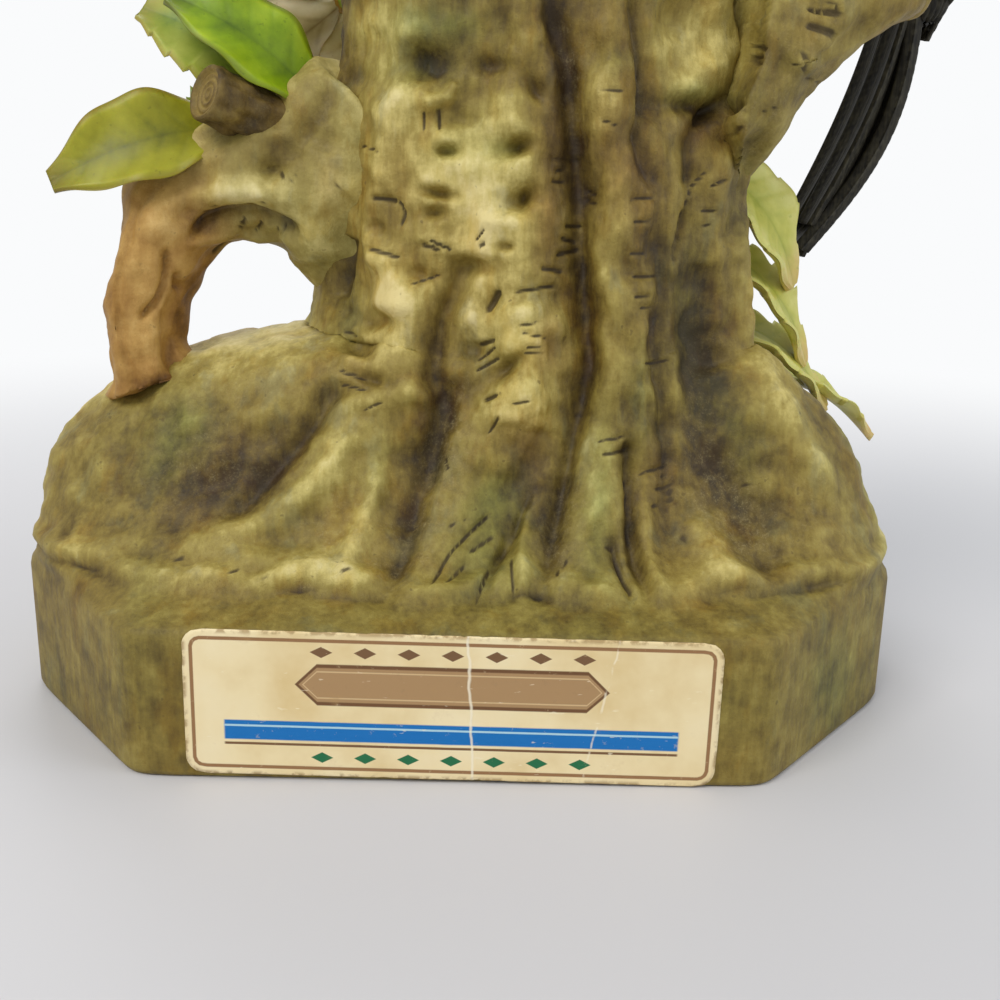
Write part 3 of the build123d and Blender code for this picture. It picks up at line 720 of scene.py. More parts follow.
def thumbed(p):
    """The unevenness of clay pressed by hand, in mm: broad, middling and fine lumps."""
    broad = noise.noise(Vector(p) * 0.085) * 0.8
    middling = noise.noise(Vector(p) * 0.24) * 0.85
    fine = noise.noise(Vector((p[0], p[1], p[2] * 0.6)) * 0.75) * 0.26
    return broad + middling + fine


lumps = np.array([[thumbed(p) for p in line] for line in body])
print("grooves, dents and lumps of the far side reach", round(float(np.abs(far_form).max()), 1), "mm")

# %% [markdown]
# The mound runs over the plinth's ledge with a wavy lip: a groove under it and a roll
# above it. The lip is flush at the sides, where the mound reaches the plinth's edge, and
# the relief there is held back, so that it doesn't stand out past the casting's foot.

# %% The lip over the ledge
LIP_HEIGHT = 28.6
LIP_CUT = 1.3
LIP_ROLL = 1.2
lip = LIP_HEIGHT + 0.8 * np.sin(np.radians(turns) * 9 + 1) + 0.5 * np.sin(np.radians(turns) * 23)
lip_share = smooth((np.abs(turns + 90) - 88) / -12 + 1) * 0.75 + 0.25
under_lip = bell(wall_v - lip, 0.55) * lip_share
over_lip = bell(wall_v - lip - 2.2, 1.6) * lip_share
relief = form + lumps * on_wall - cut_depth - LIP_CUT * under_lip * on_wall + LIP_ROLL * over_lip * on_wall
rim_room = 0.8 + 5.0 * smooth((wall_v - 30) / 12) + 3.0 * np.abs(np.sin(np.radians(turns)))[None, :]
relief = np.minimum(relief, rim_room)
carved = raised(body, relief)
print("grooves, dents and cuts go", round(float(-relief.min()), 1), "mm deep")

# %% [markdown]
# The painter worked from a dark brown in the recesses to a pale yellow on the high
# places, with green and rust washes over them and a chalky bloom in the roots. Those
# washes are kept as numbers on the mesh, so that the material stays one material.
# The tone also holds painted light: a painted shadow line under the ledge's lip, a
# painted highlight on the roll above it and a painted shadow where the arch's foot
# meets the mound.

# %% Washes of paint
washes = {  # x, y, half width, half height in pixels, amount, then any tilt
    "tone": [
        (475, 190, 90, 120, 0.2), (400, 130, 40, 60, 0.08), (612, 140, 26, 150, -0.13),
        (612, 330, 24, 90, -0.1), (700, 38, 46, 50, 0.56), (760, 60, 20, 70, -0.1, 20),
        (805, 55, 44, 60, -0.16, 20), (470, 400, 90, 110, 0.07), (655, 180, 16, 130, -0.05),
        (655, 330, 20, 60, -0.04), (725, 250, 40, 110, 0.06), (700, 370, 36, 110, -0.02, -15),
        (760, 480, 50, 60, 0.02, 30), (395, 300, 50, 30, 0.14, 10), (360, 440, 50, 60, 0.06, 30),
        (440, 400, 26, 80, -0.12), (410, 490, 22, 70, -0.14, 20), (520, 470, 22, 60, -0.14),
        (520, 360, 40, 60, 0.02), (470, 320, 24, 40, 0.12), (560, 90, 14, 120, -0.12),
        (548, 190, 14, 90, -0.1), (300, 500, 60, 40, -0.02, -35), (345, 540, 14, 60, 0.04, 8),
        (330, 120, 40, 80, -0.08), (340, 260, 20, 70, -0.06), (200, 480, 80, 60, -0.16),
        (378, 170, 22, 110, -0.24), (372, 34, 36, 66, 0.42), (500, 640, 400, 26, -0.1, 1),
        (805, 450, 46, 100, -0.13), (790, 588, 70, 18, -0.13, 4), (835, 600, 30, 60, 0.03),
        (424, 50, 26, 12, -0.04), (545, 300, 20, 40, 0.05), (250, 185, 50, 14, 0.14, -8),
        (230, 160, 40, 16, -0.08, -20), (200, 238, 20, 10, -0.14, -20), (165, 230, 26, 40, 0.1),
        (150, 290, 26, 40, 0.04), (260, 228, 40, 10, -0.16), (190, 300, 14, 50, -0.14, 15),
        # the thin dark patch at 160, 380 is a painted shadow where the arch's foot rests on the mound
        (300, 110, 40, 20, -0.1, -30), (160, 380, 40, 8, -0.22, -10), (500, 540, 30, 50, -0.02),
        (590, 560, 30, 60, -0.08), (660, 560, 30, 50, -0.05),
    ],
    "green": [
        (438, 24, 46, 22, 0.9), (420, 68, 36, 18, 0.55), (470, 130, 30, 40, 0.18),
        (495, 500, 34, 40, 0.75, 20), (480, 560, 40, 40, 0.55, -40), (600, 480, 14, 70, 0.55),
        (185, 425, 30, 30, 0.85), (160, 460, 26, 30, 0.6), (690, 300, 20, 80, 0.45),
        (735, 430, 24, 60, 0.55, -25), (590, 540, 20, 50, 0.35), (350, 300, 16, 60, 0.4),
        (620, 60, 26, 12, 0.4), (700, 95, 40, 14, 0.6), (750, 200, 20, 70, 0.35), (830, 680, 24, 60, 0.6),
        (500, 690, 420, 60, 0.35, 1), (145, 600, 26, 60, 0.35), (770, 600, 60, 40, 0.25),
        (380, 470, 16, 30, 0.35, 20), (640, 400, 14, 50, 0.3), (505, 150, 16, 12, 0.45),
        (448, 152, 14, 8, 0.4),
    ],
    "rust": [
        (556, 120, 16, 80, 0.75), (548, 225, 14, 50, 0.85), (520, 440, 24, 30, 0.65),
        (535, 480, 14, 40, 0.55), (618, 150, 26, 60, 0.6), (640, 190, 22, 50, 0.75), (548, 345, 14, 30, 0.7),
        (690, 130, 30, 14, 0.5), (190, 512, 22, 16, 0.7), (700, 140, 18, 30, 0.5, 30),
        (600, 20, 20, 40, 0.4), (810, 30, 24, 30, 0.4), (355, 370, 20, 16, 0.35), (655, 470, 12, 30, 0.4),
        (330, 180, 20, 40, 0.35), (402, 170, 12, 40, 0.2), (775, 575, 20, 12, 0.5),
        (235, 440, 20, 14, 0.4, -20),
    ],
    "bloom": [
        (190, 470, 70, 80, 0.75), (350, 545, 60, 60, 0.55, -30), (452, 440, 22, 70, 0.95, 12),
        (430, 520, 20, 60, 0.9, 22), (560, 550, 26, 70, 0.85), (590, 500, 14, 50, 0.7, 8),
        (720, 500, 50, 50, 0.95, 30), (745, 545, 40, 40, 0.9), (820, 500, 30, 60, 0.6),
        (565, 80, 14, 60, 0.45), (700, 400, 20, 60, 0.5), (640, 80, 24, 60, 0.4), (580, 70, 14, 70, 0.5),
        (750, 250, 20, 120, 0.45), (500, 630, 360, 14, 0.35, 1), (260, 380, 60, 30, 0.5, -20),
        (335, 540, 30, 70, 0.4, 20), (810, 110, 40, 60, 0.5, 30),
    ],
}
CLOUD_SCALE = 0.03  # of the noise that makes the clouds, per mm


def wash_fields(u, v, shown, points, seed):
    """Each wash at each point: painted patches in view, broad seeded clouds elsewhere."""
    fields = {}
    for order, (name, patches) in enumerate(washes.items()):
        painted = sum(amount * dent(u, v, x, y, wide, high, *tilt)
                      for x, y, wide, high, amount, *tilt in patches)
        shift = Vector((seed, 17.0 * order, 0))
        clouds = np.array([[noise.noise(Vector(p) * CLOUD_SCALE + shift) for p in line] for line in points])
        spread = clouds * 0.30 if name == "tone" else np.clip(clouds * 1.6, 0, 0.8)
        fields[name] = painted * shown + spread * (1 - 0.75 * shown)
    return fields


fields = wash_fields(column, row, in_view, body, seed=3.0)
valley = (surface_radius(turns[None, :], np.clip(wall_v, 28, trunk_top), 0)
          - surface_radius(turns[None, :], np.clip(wall_v, 28, trunk_top), 1)) * on_wall
rise = np.maximum(form + lumps, 0.68 * (form + lumps))  # grooves darken less than ridges lighten
fields["tone"] = 0.465 + fields["tone"] * 1.2 + 0.155 * rise * on_wall - 0.02 * valley
# painted light: the groove under the lip is darkened into a painted shadow line, and the roll above it is
# lightened as a painted highlight
fields["tone"] += (0.16 * over_lip - 0.46 * under_lip + 0.07 * (1 - in_view)) * on_wall
fields["tone"] = fields["tone"] * on_wall + (0.40 + 0.05 * lumps) * (1 - on_wall)
chalk = 0.5 * bell(wall_v - 34, 9) * (1 - in_view)  # between the roots of the far side
fields["bloom"] = np.clip(fields["bloom"] + chalk, 0, 1) * on_wall
fields["cut"] = cut_paint
print("washes:", {name: (round(float(f.min()), 2), round(float(f.max()), 2)) for name, f in fields.items()})

# %% [markdown]
# One function turns rings of points into a closed mesh: quads between the rings and a
# fan at each end, each point carrying its washes. Every ring-built piece uses it.

# %% Rings to a closed mesh
def skin(name, parts, finish, body_name="decanter"):
    """One piece of closed skins, each a grid of rings in millimetres with its fields."""
    vertices, faces, columns = [], [], {}
    for grid, fields in parts:
        count, points = grid.shape[:2]
        start = sum(len(v) for v in vertices)
        vertices += [grid.reshape(-1, 3), grid[:1].mean(axis=1), grid[-1:].mean(axis=1)]
        here = start + np.arange(points)
        after = start + (np.arange(points) + 1) % points
        for k in range(count - 1):
            a, b = k * points + here, k * points + after
            faces.extend(np.stack([a, b, b + points, a + points], axis=1).tolist())
        tip, top = start + count * points, (count - 1) * points
        faces.extend([tip, int(b), int(a)] for a, b in zip(here, after))
        faces.extend([tip + 1, int(top + a), int(top + b)] for a, b in zip(here, after))
        for key, values in fields.items():
            tips = [float(np.mean(values[0])), float(np.mean(values[-1]))]
            column_values = np.concatenate([np.asarray(values, float).ravel(), tips])
            columns.setdefault(key, []).append(column_values)
    mesh = bpy.data.meshes.new(name)
    mesh.from_pydata((np.concatenate(vertices) * MM).tolist(), [], faces)
    for key, values in columns.items():
        layer = mesh.attributes.new(key, "FLOAT", "POINT")
        layer.data.foreach_set("value", np.concatenate(values).astype(np.float32))
    mesh.shade_smooth()
    made = bpy.data.objects.new(name, mesh)
    bpy.context.collection.objects.link(made)
    mesh.materials.append(finish)
    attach(made, body_name)
    return made


print("a skin of", body.shape[0], "rings has", 2 * body.shape[1] * body.shape[0], "triangles")

# %% [markdown]
# The bark's paint is one material for trunk, limbs and stopper. A ramp gives the colour
# by tone, from the darkest recess to the highest ridge; clouds and streaks of noise move
# the tone about, as a loaded brush does, and the washes go over it one by one.

# %% The painted bark
TONE_STOPS = (0.02, 0.22, 0.42, 0.62, 0.80, 0.97)
TANS = [(52, 28, 4), (118, 78, 28), (162, 118, 54), (190, 148, 80), (208, 170, 102), (220, 188, 128)]


def bark_finish(name, colours, streak=1.0):
    """Painted bisque bark: colours from the darkest recess to the highest ridge."""
    paint = Finish(name, roughness=0.62, specular=0.38)
    grain = paint.noise(1.0, 4.0, place=paint.stretched(900.0, 900.0, 170.0))
    cloud = paint.noise(95.0, 4.0, 0.6)
    blotch = paint.noise(260.0, 5.0, 0.65)
    tone = paint.attribute("tone") + (cloud - 0.5) * 0.55 + (blotch - 0.5) * 0.60
    tone = tone + (grain - 0.5) * 0.34 * streak
    tan = paint.attribute("tan")
    colour = paint.ramp(tone, [(at, rgb(*shade)) for at, shade in zip(TONE_STOPS, colours)])
    tans = paint.ramp(tone, [(at, rgb(*shade)) for at, shade in zip(TONE_STOPS, TANS)])
    colour = paint.blend(colour, tans, tan)
    washed = paint.noise(140.0, 3.0)
    brush = paint.noise(1.0, 4.0, 0.6, place=paint.stretched(160.0, 160.0, 60.0))
    ochre = brush.step(0.52, 0.66) * (1 - tan) * 0.62
    colour = paint.blend(colour, paint.wash(tone, (60, 36, 2), (134, 104, 24), (196, 172, 84)), ochre)
    grey = (1 - brush.step(0.32, 0.45)) * (1 - tan) * 0.36
    colour = paint.blend(colour, paint.wash(tone, (50, 50, 30), (120, 118, 82), (186, 182, 144)), grey)
    green = (paint.attribute("green") * (0.35 + washed)).held() * 0.75
    colour = paint.blend(colour, paint.wash(tone, (52, 56, 18), (118, 126, 58), (176, 184, 108)), green)
    rust = (paint.attribute("rust") * (0.25 + washed * 1.2)).held() * 0.8
    colour = paint.blend(colour, paint.wash(tone, (56, 34, 8), (124, 92, 34), (196, 152, 80)), rust)
    speck = paint.noise(2300.0, 2.0, 0.7).step(0.50, 0.62)
    fog = paint.noise(420.0, 4.0, 0.7).step(0.36, 0.70)
    bloom = (paint.attribute("bloom") * (speck * 0.55 + 0.25) * fog).held()
    colour = paint.blend(colour, rgb(180, 164, 116), bloom * 0.5)
    cut = paint.attribute("cut").step(0.15, 0.75)
    colour = paint.blend(colour, rgb(52, 38, 14), cut * 0.82)
    dirt = paint.noise(520.0, 2.0, 0.5).step(0.70, 0.78)
    colour = paint.blend(colour, rgb(70, 52, 20), dirt * 0.5)
    roughness = 0.58 + bloom * 0.3 + (grain - 0.5) * 0.2
    height = grain * 0.5 + blotch * 0.9 + speck * 0.16
    return paint.shade(colour, roughness, height, depth=0.00028, strength=0.7)


OLIVES = [(50, 36, 10), (94, 76, 26), (132, 113, 48), (160, 143, 72), (200, 184, 110), (224, 209, 146)]
trunk_paint = bark_finish("trunk_bisque", OLIVES)
vessel = skin("vessel_body_form", [(carved, fields)], trunk_paint)
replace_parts(vessel, "vessel_body", "vessel_neck")
print("body triangles:", sum(len(p.vertices) - 2 for p in vessel.data.polygons))

# %% [markdown]
# The limbs were cast apart and luted on while the clay was wet. Each is a tube swept
# along a smooth line: rings square to the line, all turned the same way, so that bark
# grooves run along it without a twist. Short round pieces, such as the bird's body, are
# made the same way later on.

# %% A limb along a line
def limb_grid(route, radii, across, flat=1.0, step=0.8, points=96):
    """Rings every step mm along a smooth line through route, with the share of the way for each."""
    spots = np.array(route, float)
    dense = through(np.column_stack([spots, radii]), 24)
    lengths = np.concatenate([[0], np.cumsum(np.linalg.norm(np.diff(dense[:, :3], axis=0), axis=1))])
    count = int(lengths[-1] / step)
    even = np.linspace(0, lengths[-1], count)
    line = np.column_stack([np.interp(even, lengths, dense[:, k]) for k in range(4)])
    along = np.gradient(line[:, :3], axis=0)
    along /= np.linalg.norm(along, axis=1, keepdims=True)
    across = np.array(across, float)
    side = across[None, :] - along * (along @ across)[:, None]
    side /= np.linalg.norm(side, axis=1, keepdims=True)
    other = np.cross(along, side)
    spin = np.linspace(0, 2 * math.pi, points, endpoint=False)
    out = side[:, None, :] * np.cos(spin)[None, :, None]
    out = out + other[:, None, :] * (np.sin(spin) * flat)[None, :, None]
    grid = line[:, None, :3] + out * line[:, 3][:, None, None]
    share = np.broadcast_to((even / lengths[-1])[:, None], grid.shape[:2])
    return grid, out, share, np.broadcast_to(spin, grid.shape[:2])


def closed_ends(grid, rounding=3):
    """Shrinking rings at both ends, so that a tube closes with a soft edge."""
    ends = []
    for at, order in ((0, 1), (-1, -1)):
        middle = grid[at].mean(axis=0)
        run = grid[at] - grid[at + order]
        ends.append([middle + (grid[at] - middle) * math.cos(t) + run.mean(axis=0) * math.sin(t)
                     for t in np.linspace(0.3, 1.45, rounding)])
    return np.concatenate([np.array(ends[0][::-1]), grid, np.array(ends[1])])


straight, _, _, _ = limb_grid([(0, 0, 0), (0, 0, 20), (0, 0, 40)], [8.0, 8.0, 8.0], (1, 0, 0))
print("a straight limb of 40 mm has", len(straight), "rings")

# %% [markdown]
# A limb is marked as the trunk is: strokes and ovals by pixel, lumps, knife cuts and
# washes. So one function does it all for any grid of rings, and gives the paint as well.

# %% Carving a limb
def lumpy(points, scale, seed):
    shift = Vector((seed, seed * 2.0, 0))
    return np.array([[noise.noise(Vector(p) * scale + shift) for p in line] for line in points])


def carve(grid, grooves=(), ridges=(), hollows=(), bumps=(), cuts=(), lump=0.7, seed=1.0):
    """Marks by pixel on any grid of rings. Gives the carved grid and its paint fields."""
    u, v, shown = in_sight(grid, 0.2)
    shape = pressed(u, v, grooves, ridges, hollows, bumps) * shown
    mark = knifed(u, v, cuts)[0] * shown
    swell = lump * (lumpy(grid, 0.10, seed) + 0.5 * lumpy(grid, 0.28, seed + 5))
    made = raised(grid, shape + swell - mark)
    paint = wash_fields(u, v, shown, grid, seed)
    paint["tone"] = 0.47 + paint["tone"] + 0.10 * (shape + swell)
    paint["cut"] = np.clip(mark * 1.2, 0, 1)
    return made, paint


def bark_lines(grid, spin, share, count, depth, seed):
    """Long wandering bark grooves on a limb."""
    drift = lumpy(grid, 0.05, seed) * 1.6
    wave = np.cos(spin * count + drift * 3 + share * 4)
    return -depth * smooth((wave - 0.55) / 0.45)


_, washes_made = carve(straight)
print("carving gives the fields", sorted(washes_made))

# %% [markdown]
# The arch springs from the trunk's left side and comes down on the mound. A wet finger
# wiped the clay over the joint, and a web of it still joins the two: in the photograph
# the arch's front runs into the wall and leaves it little by little. So the rings there
# are moved to a set gap off the wall, which grows with the pixels to the left.

# %% The arch
left_limb_radius = 16.5
left_tip_radius = 8.6
arch_height = 97.0
arch_reach = 61.0
arch_forward = 9.0
arch_shares = (  # across, height, forward, thickness from root to tip
    (-0.10, 1.00, 0.0, 0.0), (0.28, 1.02, 0.1, 0.05), (0.50, 1.01, 0.2, 0.3),
    (0.70, 0.985, 0.4, 0.5), (0.88, 0.91, 0.7, 0.65), (0.98, 0.80, 0.9, 0.85),
    (1.00, 0.69, 1.0, 0.95), (0.97, 0.60, 1.0, 1.0))
arch_route = np.array([(-arch_reach * a, -arch_forward * f, arch_height * h) for a, h, f, _ in arch_shares])
arch_radii = np.array([mix(left_limb_radius, left_tip_radius, t) for *_, t in arch_shares])


def wall_gap(points):
    """How far points stand off the body's wall; below zero inside it."""
    off_x = points[..., 0] - centre_x(points[..., 2])
    turn = np.degrees(np.arctan2(points[..., 1], off_x))
    return np.hypot(off_x, points[..., 1]) - surface_radius(turn, points[..., 2])


def wipe_joint(grid, out, swell):
    """Swells a tube where it leaves the wall, and draws in what is buried in it."""
    gap = wall_gap(grid)
    near = np.exp(-np.maximum(gap, 0) / 5.0) * smooth((gap + 5) / 5)
    near = near * (1 - 0.8 * np.clip(out[:, :, 2], 0, 1))
    middle = grid.mean(axis=1, keepdims=True)
    buried = smooth(-(wall_gap(middle) + 2) / 14)
    return raised(middle + (grid - middle) * (1 - 0.35 * buried[:, :, None]), swell * near, out)


WAIST_TUCK = 1.92  # mm, where the leg is thinnest
WEB_START = 258.0  # pixels across, where the web begins
WEB_END = 396.0  # and where it is wholly part of the wall
WEB_GROWTH = 0.0092  # how fast the web leaves the wall
WEB_LIMIT = 12.0  # mm, the furthest that it moves a point
BURIED = 3.5  # mm, the web's low side inside the wall
WEB_LIFT = 1.8  # mm, its top
WEB_DROP = 6.0  # mm, its underside
LEG_TUCK = 4.6  # mm off the leg's outer side
BEND_TUCK = 2.4  # mm more, at its bend

grid, out, share, spin = limb_grid(arch_route, arch_radii, (0, 1, 0))
grid = wipe_joint(raised(grid, -WAIST_TUCK * bell(share - 0.60, 0.09), out), out, 3.0)
u, v = to_photo(grid)
upper = np.clip(out[:, :, 2], 0, 1)
lower = np.clip(-out[:, :, 2], 0, 1)
front = smooth((0.25 - out[:, :, 1]) / 0.95) * smooth((u - WEB_START) / 60)
web_gap = WEB_GROWTH * np.maximum(0, WEB_END - u) ** 1.5 - smooth((u - WEB_END + 14) / 28)
low_side = smooth((-out[:, :, 2] - 0.1) / 0.5) * smooth((u - 300) / 36)
web_gap = mix(web_gap, -BURIED, low_side)
axis_x = centre_x(grid[:, :, 2])
off_axis = np.stack([grid[:, :, 0] - axis_x, grid[:, :, 1], np.zeros(u.shape)], axis=2)
off_axis /= np.linalg.norm(off_axis, axis=2, keepdims=True)
web = np.clip(web_gap - wall_gap(grid), -WEB_LIMIT, WEB_LIMIT) * front
grid = raised(grid, web, off_axis)
grid[:, :, 2] += WEB_LIFT * smooth((u - 235) / 60) * upper
grid[:, :, 2] -= WEB_DROP * smooth((u - 272) / 48) ** 2 * lower
outer = np.clip(-out[:, :, 0], 0, 1) * smooth((v - 170) / 50) * smooth((430 - v) / 60)
grid[:, :, 0] += outer * (LEG_TUCK + BEND_TUCK * bell(v - 250, 26))
grid = raised(grid, bark_lines(grid, spin, share, 5, 0.7, 8.0))
grid = closed_ends(grid)
arch_cuts = {
    (1.5, 0.6): [(276, 230, 286, 229), (346, 182, 334, 186)],
    (1.6, 0.4): [(139, 258, 143, 276)],
    (1.6, 0.7): [(254, 228, 264, 222), (206, 214, 216, 205)],
    (1.6, 0.8): [(267, 202, 246, 205)],
    (1.8, 0.8): [(231, 240, 214, 255), (240, 226, 246, 220)],
    (2.0, 0.8): [(294, 174, 292, 182)],
    (2.6, 1.0): [(279, 171, 280, 181)],
}
arch, arch_paint = carve(
    grid, lump=1.1, seed=21.0, cuts=cut_list(arch_cuts),
    grooves=[([194, 236, 208, 222, 228, 213, 254, 213, 278, 221, 300, 233], 6, 2.8),
             ([165, 250, 166, 272, 158, 299, 141, 318], 3.6, 2.2),
             ([177, 274, 177, 292], 3.4, 1.8),
             ([335, 80, 300, 150, 262, 190], 14, 1.6),
             ([280, 135, 262, 180], 12, 1.6)],
    ridges=[([190, 245, 215, 238, 250, 232, 290, 240], 5, 1.2),
            ([205, 205, 240, 192, 300, 196], 10, 1.2),
            ([150, 330, 158, 360, 150, 380], 10, 1.0),
            ([250, 195, 290, 172, 325, 120], 8, 1.2)],
    hollows=[(182, 215, 14, 10, 1.4), (172, 345, 8, 22, 1.2, 15), (270, 170, 12, 9, 1.0)],
    bumps=[(160, 225, 18, 22, 1.4), (215, 190, 26, 10, 1.2, -15)])
ARCH_TAN = 0.9
arch_tan = ARCH_TAN * smooth((share.mean(axis=1) - 0.50) / 0.20)
arch_tan = np.concatenate([np.zeros(3), arch_tan, ARCH_TAN * np.ones(3)])[:, None] * np.ones(arch.shape[1])
arch_paint["tan"] = arch_tan
# painted shade: the underside of the arm and the inner side of the leg, inside the arch, are darkened
inner_arch_shade = stroke(*to_photo(grid), [300, 246, 250, 250, 215, 275, 200, 310, 186, 345], 16)
arch_paint["tone"] = arch_paint["tone"] + 0.15 * (1 - arch_tan) + 0.03 - 0.20 * inner_arch_shade
arch_paint["bloom"] = arch_paint["bloom"] * (1 - arch_tan)

MOSSES = [(52, 38, 12), (96, 78, 30), (132, 114, 54), (160, 144, 78), (198, 183, 116), (222, 208, 150)]
limb_paint = bark_finish("limb_bisque", MOSSES, streak=0.6)
print("arch rings:", arch.shape)
left_limb = skin("left_limb_form", [(arch, arch_paint)], limb_paint)
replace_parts(left_limb, "left_limb")

# %% [markdown]
# A branch was sawn off above the arch. Its stub is turned round its own axis: a rough
# bark wall, a raised rim and growth rings that were pressed into the cut face.

# %% The cut stub
stub_radius = 5.0
stub_length = 20.0
stub_rim = 1.1
stub_end = np.array([-44.1, -17.0, 109.5])
stub_along = np.array([-0.70, -0.64, 0.31])
stub_along /= np.linalg.norm(stub_along)
stub_start = stub_end - stub_along * stub_length
RING_GAP = 1.15  # between growth rings, mm


def turned(start, axis, profile, points=64):
    """Rings round an axis, through pairs of radius and distance along it."""
    axis = axis / np.linalg.norm(axis)
    side = np.cross(axis, (0.0, 0.0, 1.0))
    side /= np.linalg.norm(side)
    other = np.cross(axis, side)
    spin = np.linspace(0, 2 * math.pi, points, endpoint=False)
    out = np.cos(spin)[:, None] * side + np.sin(spin)[:, None] * other
    return np.array([start + axis * along + out * radius for radius, along in profile]), spin


def growth_ring(radius):
    """0 between two growth rings, 1 on a ring."""
    return 0.5 + 0.5 * math.sin(2 * math.pi * radius / RING_GAP)


inner = stub_radius - stub_rim
STUB_RINGS = 27
stub_profile = [(stub_radius * (1.2 - 0.2 * smooth(t * 1.3)), stub_length * t)
                for t in np.linspace(-0.4, 0.94, STUB_RINGS)]
stub_profile += [(stub_radius - 0.1, stub_length - 0.3), (stub_radius - 0.5, stub_length),
                 (inner + 0.2, stub_length - 0.1)]
stub_profile += [(r, stub_length - stub_rim * 0.55 - 0.28 * growth_ring(r))
                 for r in np.linspace(inner, 0.4, 22)]
stub_grid, spin = turned(stub_start, stub_along, stub_profile)
stub_way = np.array([along for _, along in stub_profile])[:, None]
stub_wall = smooth((stub_length * 0.97 - stub_way) / 1.5)
stub_free = smooth((stub_way / stub_length - 0.35) / 0.3)
stub_bark = 0.5 * smooth((np.cos(spin * 7) - 0.3) / 0.7)[None, :] * stub_wall * stub_free
stub_grid = raised(stub_grid, 0.8 * lumpy(stub_grid, 0.35, 31.0) * stub_wall - stub_bark)
stub, stub_paint = carve(stub_grid, lump=0.15, seed=33.0)
growth = np.array([growth_ring(r) for r, _ in stub_profile])[:, None]
on_face = (np.arange(len(stub_profile)) >= STUB_RINGS + 2)[:, None] * np.ones(len(spin))
bark_tone = 0.22 + 0.14 * lumpy(stub_grid, 0.3, 4.0)
stub_paint["tone"] = bark_tone * (1 - on_face) + (0.33 + 0.16 * growth) * on_face
stub_paint["tan"] = 0.10 + 0.05 * on_face
stub_paint["bloom"] = np.full(on_face.shape, 0.35)
stub_form = skin("limb_stub_form", [(stub, stub_paint)], limb_paint)
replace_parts(stub_form, "limb_stub")
print("growth rings:", round(inner / RING_GAP))

# %% [markdown]
# The right limb climbs out of the picture. It shares the trunk's carving, because the
# same knife strokes cross from one to the other, and ends in a snapped hollow tip.

# %% The climbing limb
right_limb_radius = 16.0
right_tip_radius = 8.5
right_limb_height = 208.0
right_limb_reach = 84.0
right_limb_start = 90.0
right_limb_forward = 6.0
break_depth = 5.0
BURL_TUCK = 11.0  # mm back, behind the burl, so that the burl stays whole
UNDER_TUCK = 5.5  # mm off the limb's underside
climb_shares = (  # across, forward, height, thickness from root to tip
    (0.40, 1.0, 0.00, 0.0), (0.51, 0.7, 0.108, 0.0), (0.61, 0.3, 0.214, 0.07),
    (0.78, 0.0, 0.326, 0.27), (0.89, -0.2, 0.415, 0.47), (0.95, 0.0, 0.525, 0.65),
    (0.97, 0.1, 0.66, 0.78), (0.97, 0.2, 0.83, 0.88), (1.0, -0.2, 1.00, 1.0))
climb = right_limb_height - right_limb_start
climb_route = np.array([(right_limb_reach * a, -right_limb_forward * f, right_limb_start + climb * h)
                        for a, f, h, _ in climb_shares])
climb_radii = np.array([mix(right_limb_radius, right_tip_radius, t) for *_, t in climb_shares])
grid, out, share, spin = limb_grid(climb_route, climb_radii, (0, 1, 0))
grid = wipe_joint(grid, out, 3.0)
u, v = to_photo(grid)
seam = np.array([(764, -10), (756, 60), (742, 92), (732, 113), (738, 138), (752, 200)], float)
seam_x = np.interp(v, seam[:, 1], seam[:, 0])
grid[:, :, 1] += BURL_TUCK * smooth((seam_x + 8 - u) / 30)
under = np.clip(out @ np.array([0.76, 0.0, -0.65]), 0, 1) ** 1.5
grid = raised(grid, -(UNDER_TUCK * under * smooth((v - 5) / 60) * smooth((250 - v) / 40)), out)
grid = raised(grid, bark_lines(grid, spin, share, 5, 0.9, 12.0))
tip_middle = grid[-1].mean(axis=0)
jag = 1.4 * np.cos(spin[0] * 3 + 1) + np.cos(spin[0] * 8)
grid[-1] += np.array([0, 0, 1.0]) * jag[:, None] * 0.6
crater = [tip_middle + (grid[-1] - tip_middle) * w + np.array([0, 0, -break_depth * d])
          for w, d in ((0.92, 0.0), (0.78, 0.35), (0.62, 0.8), (0.35, 1.0), (0.12, 1.05))]
grid = np.concatenate([grid, np.array(crater)])
limb, limb_washes = carve(grid, grooves, ridges, hollows, bumps, cuts, lump=1.0, seed=41.0)
limb_washes["tan"] = np.zeros(limb.shape[:2])
limb_washes["tone"][-len(crater):] = 0.24
limb_washes["bloom"] = np.clip(limb_washes["bloom"] + 0.25, 0, 1)
right_limb = skin("right_limb_form", [(limb, limb_washes)], trunk_paint)
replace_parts(right_limb, "right_limb")
print("climbing limb rings:", limb.shape)

# %% [markdown]
# The stopper is the broken top of the trunk. It carries on the bark above the shoulder,
# ends in a splintered crown, and is hollow below, where it drops over the neck.

# %% The stopper
stopper_height = 56.0
stopper_seat_gap = 0.3
crown_depth = 17.0
crown_notch = 9.0
neck_clearance = 0.8
stopper_bottom = trunk_top + stopper_seat_gap
crown_top = stopper_bottom + stopper_height
socket_depth = neck_height + neck_clearance - stopper_seat_gap
socket_radius = neck_radius + neck_clearance
notch_turns = (20.0, 78.0, 131.0, 196.0, 251.0, 309.0)
stopper_turns = np.arange(0, 360, 1.5)
stopper_around = compass(stopper_turns)


def stopper_ring(radius, z, x=None):
    x = neck_x if x is None else x
    return np.stack([x + radius * stopper_around[0], radius * stopper_around[1],
                     np.broadcast_to(z, stopper_turns.shape).astype(float)], axis=1)


def spread(turn):
    return (turn + 180) % 360 - 180


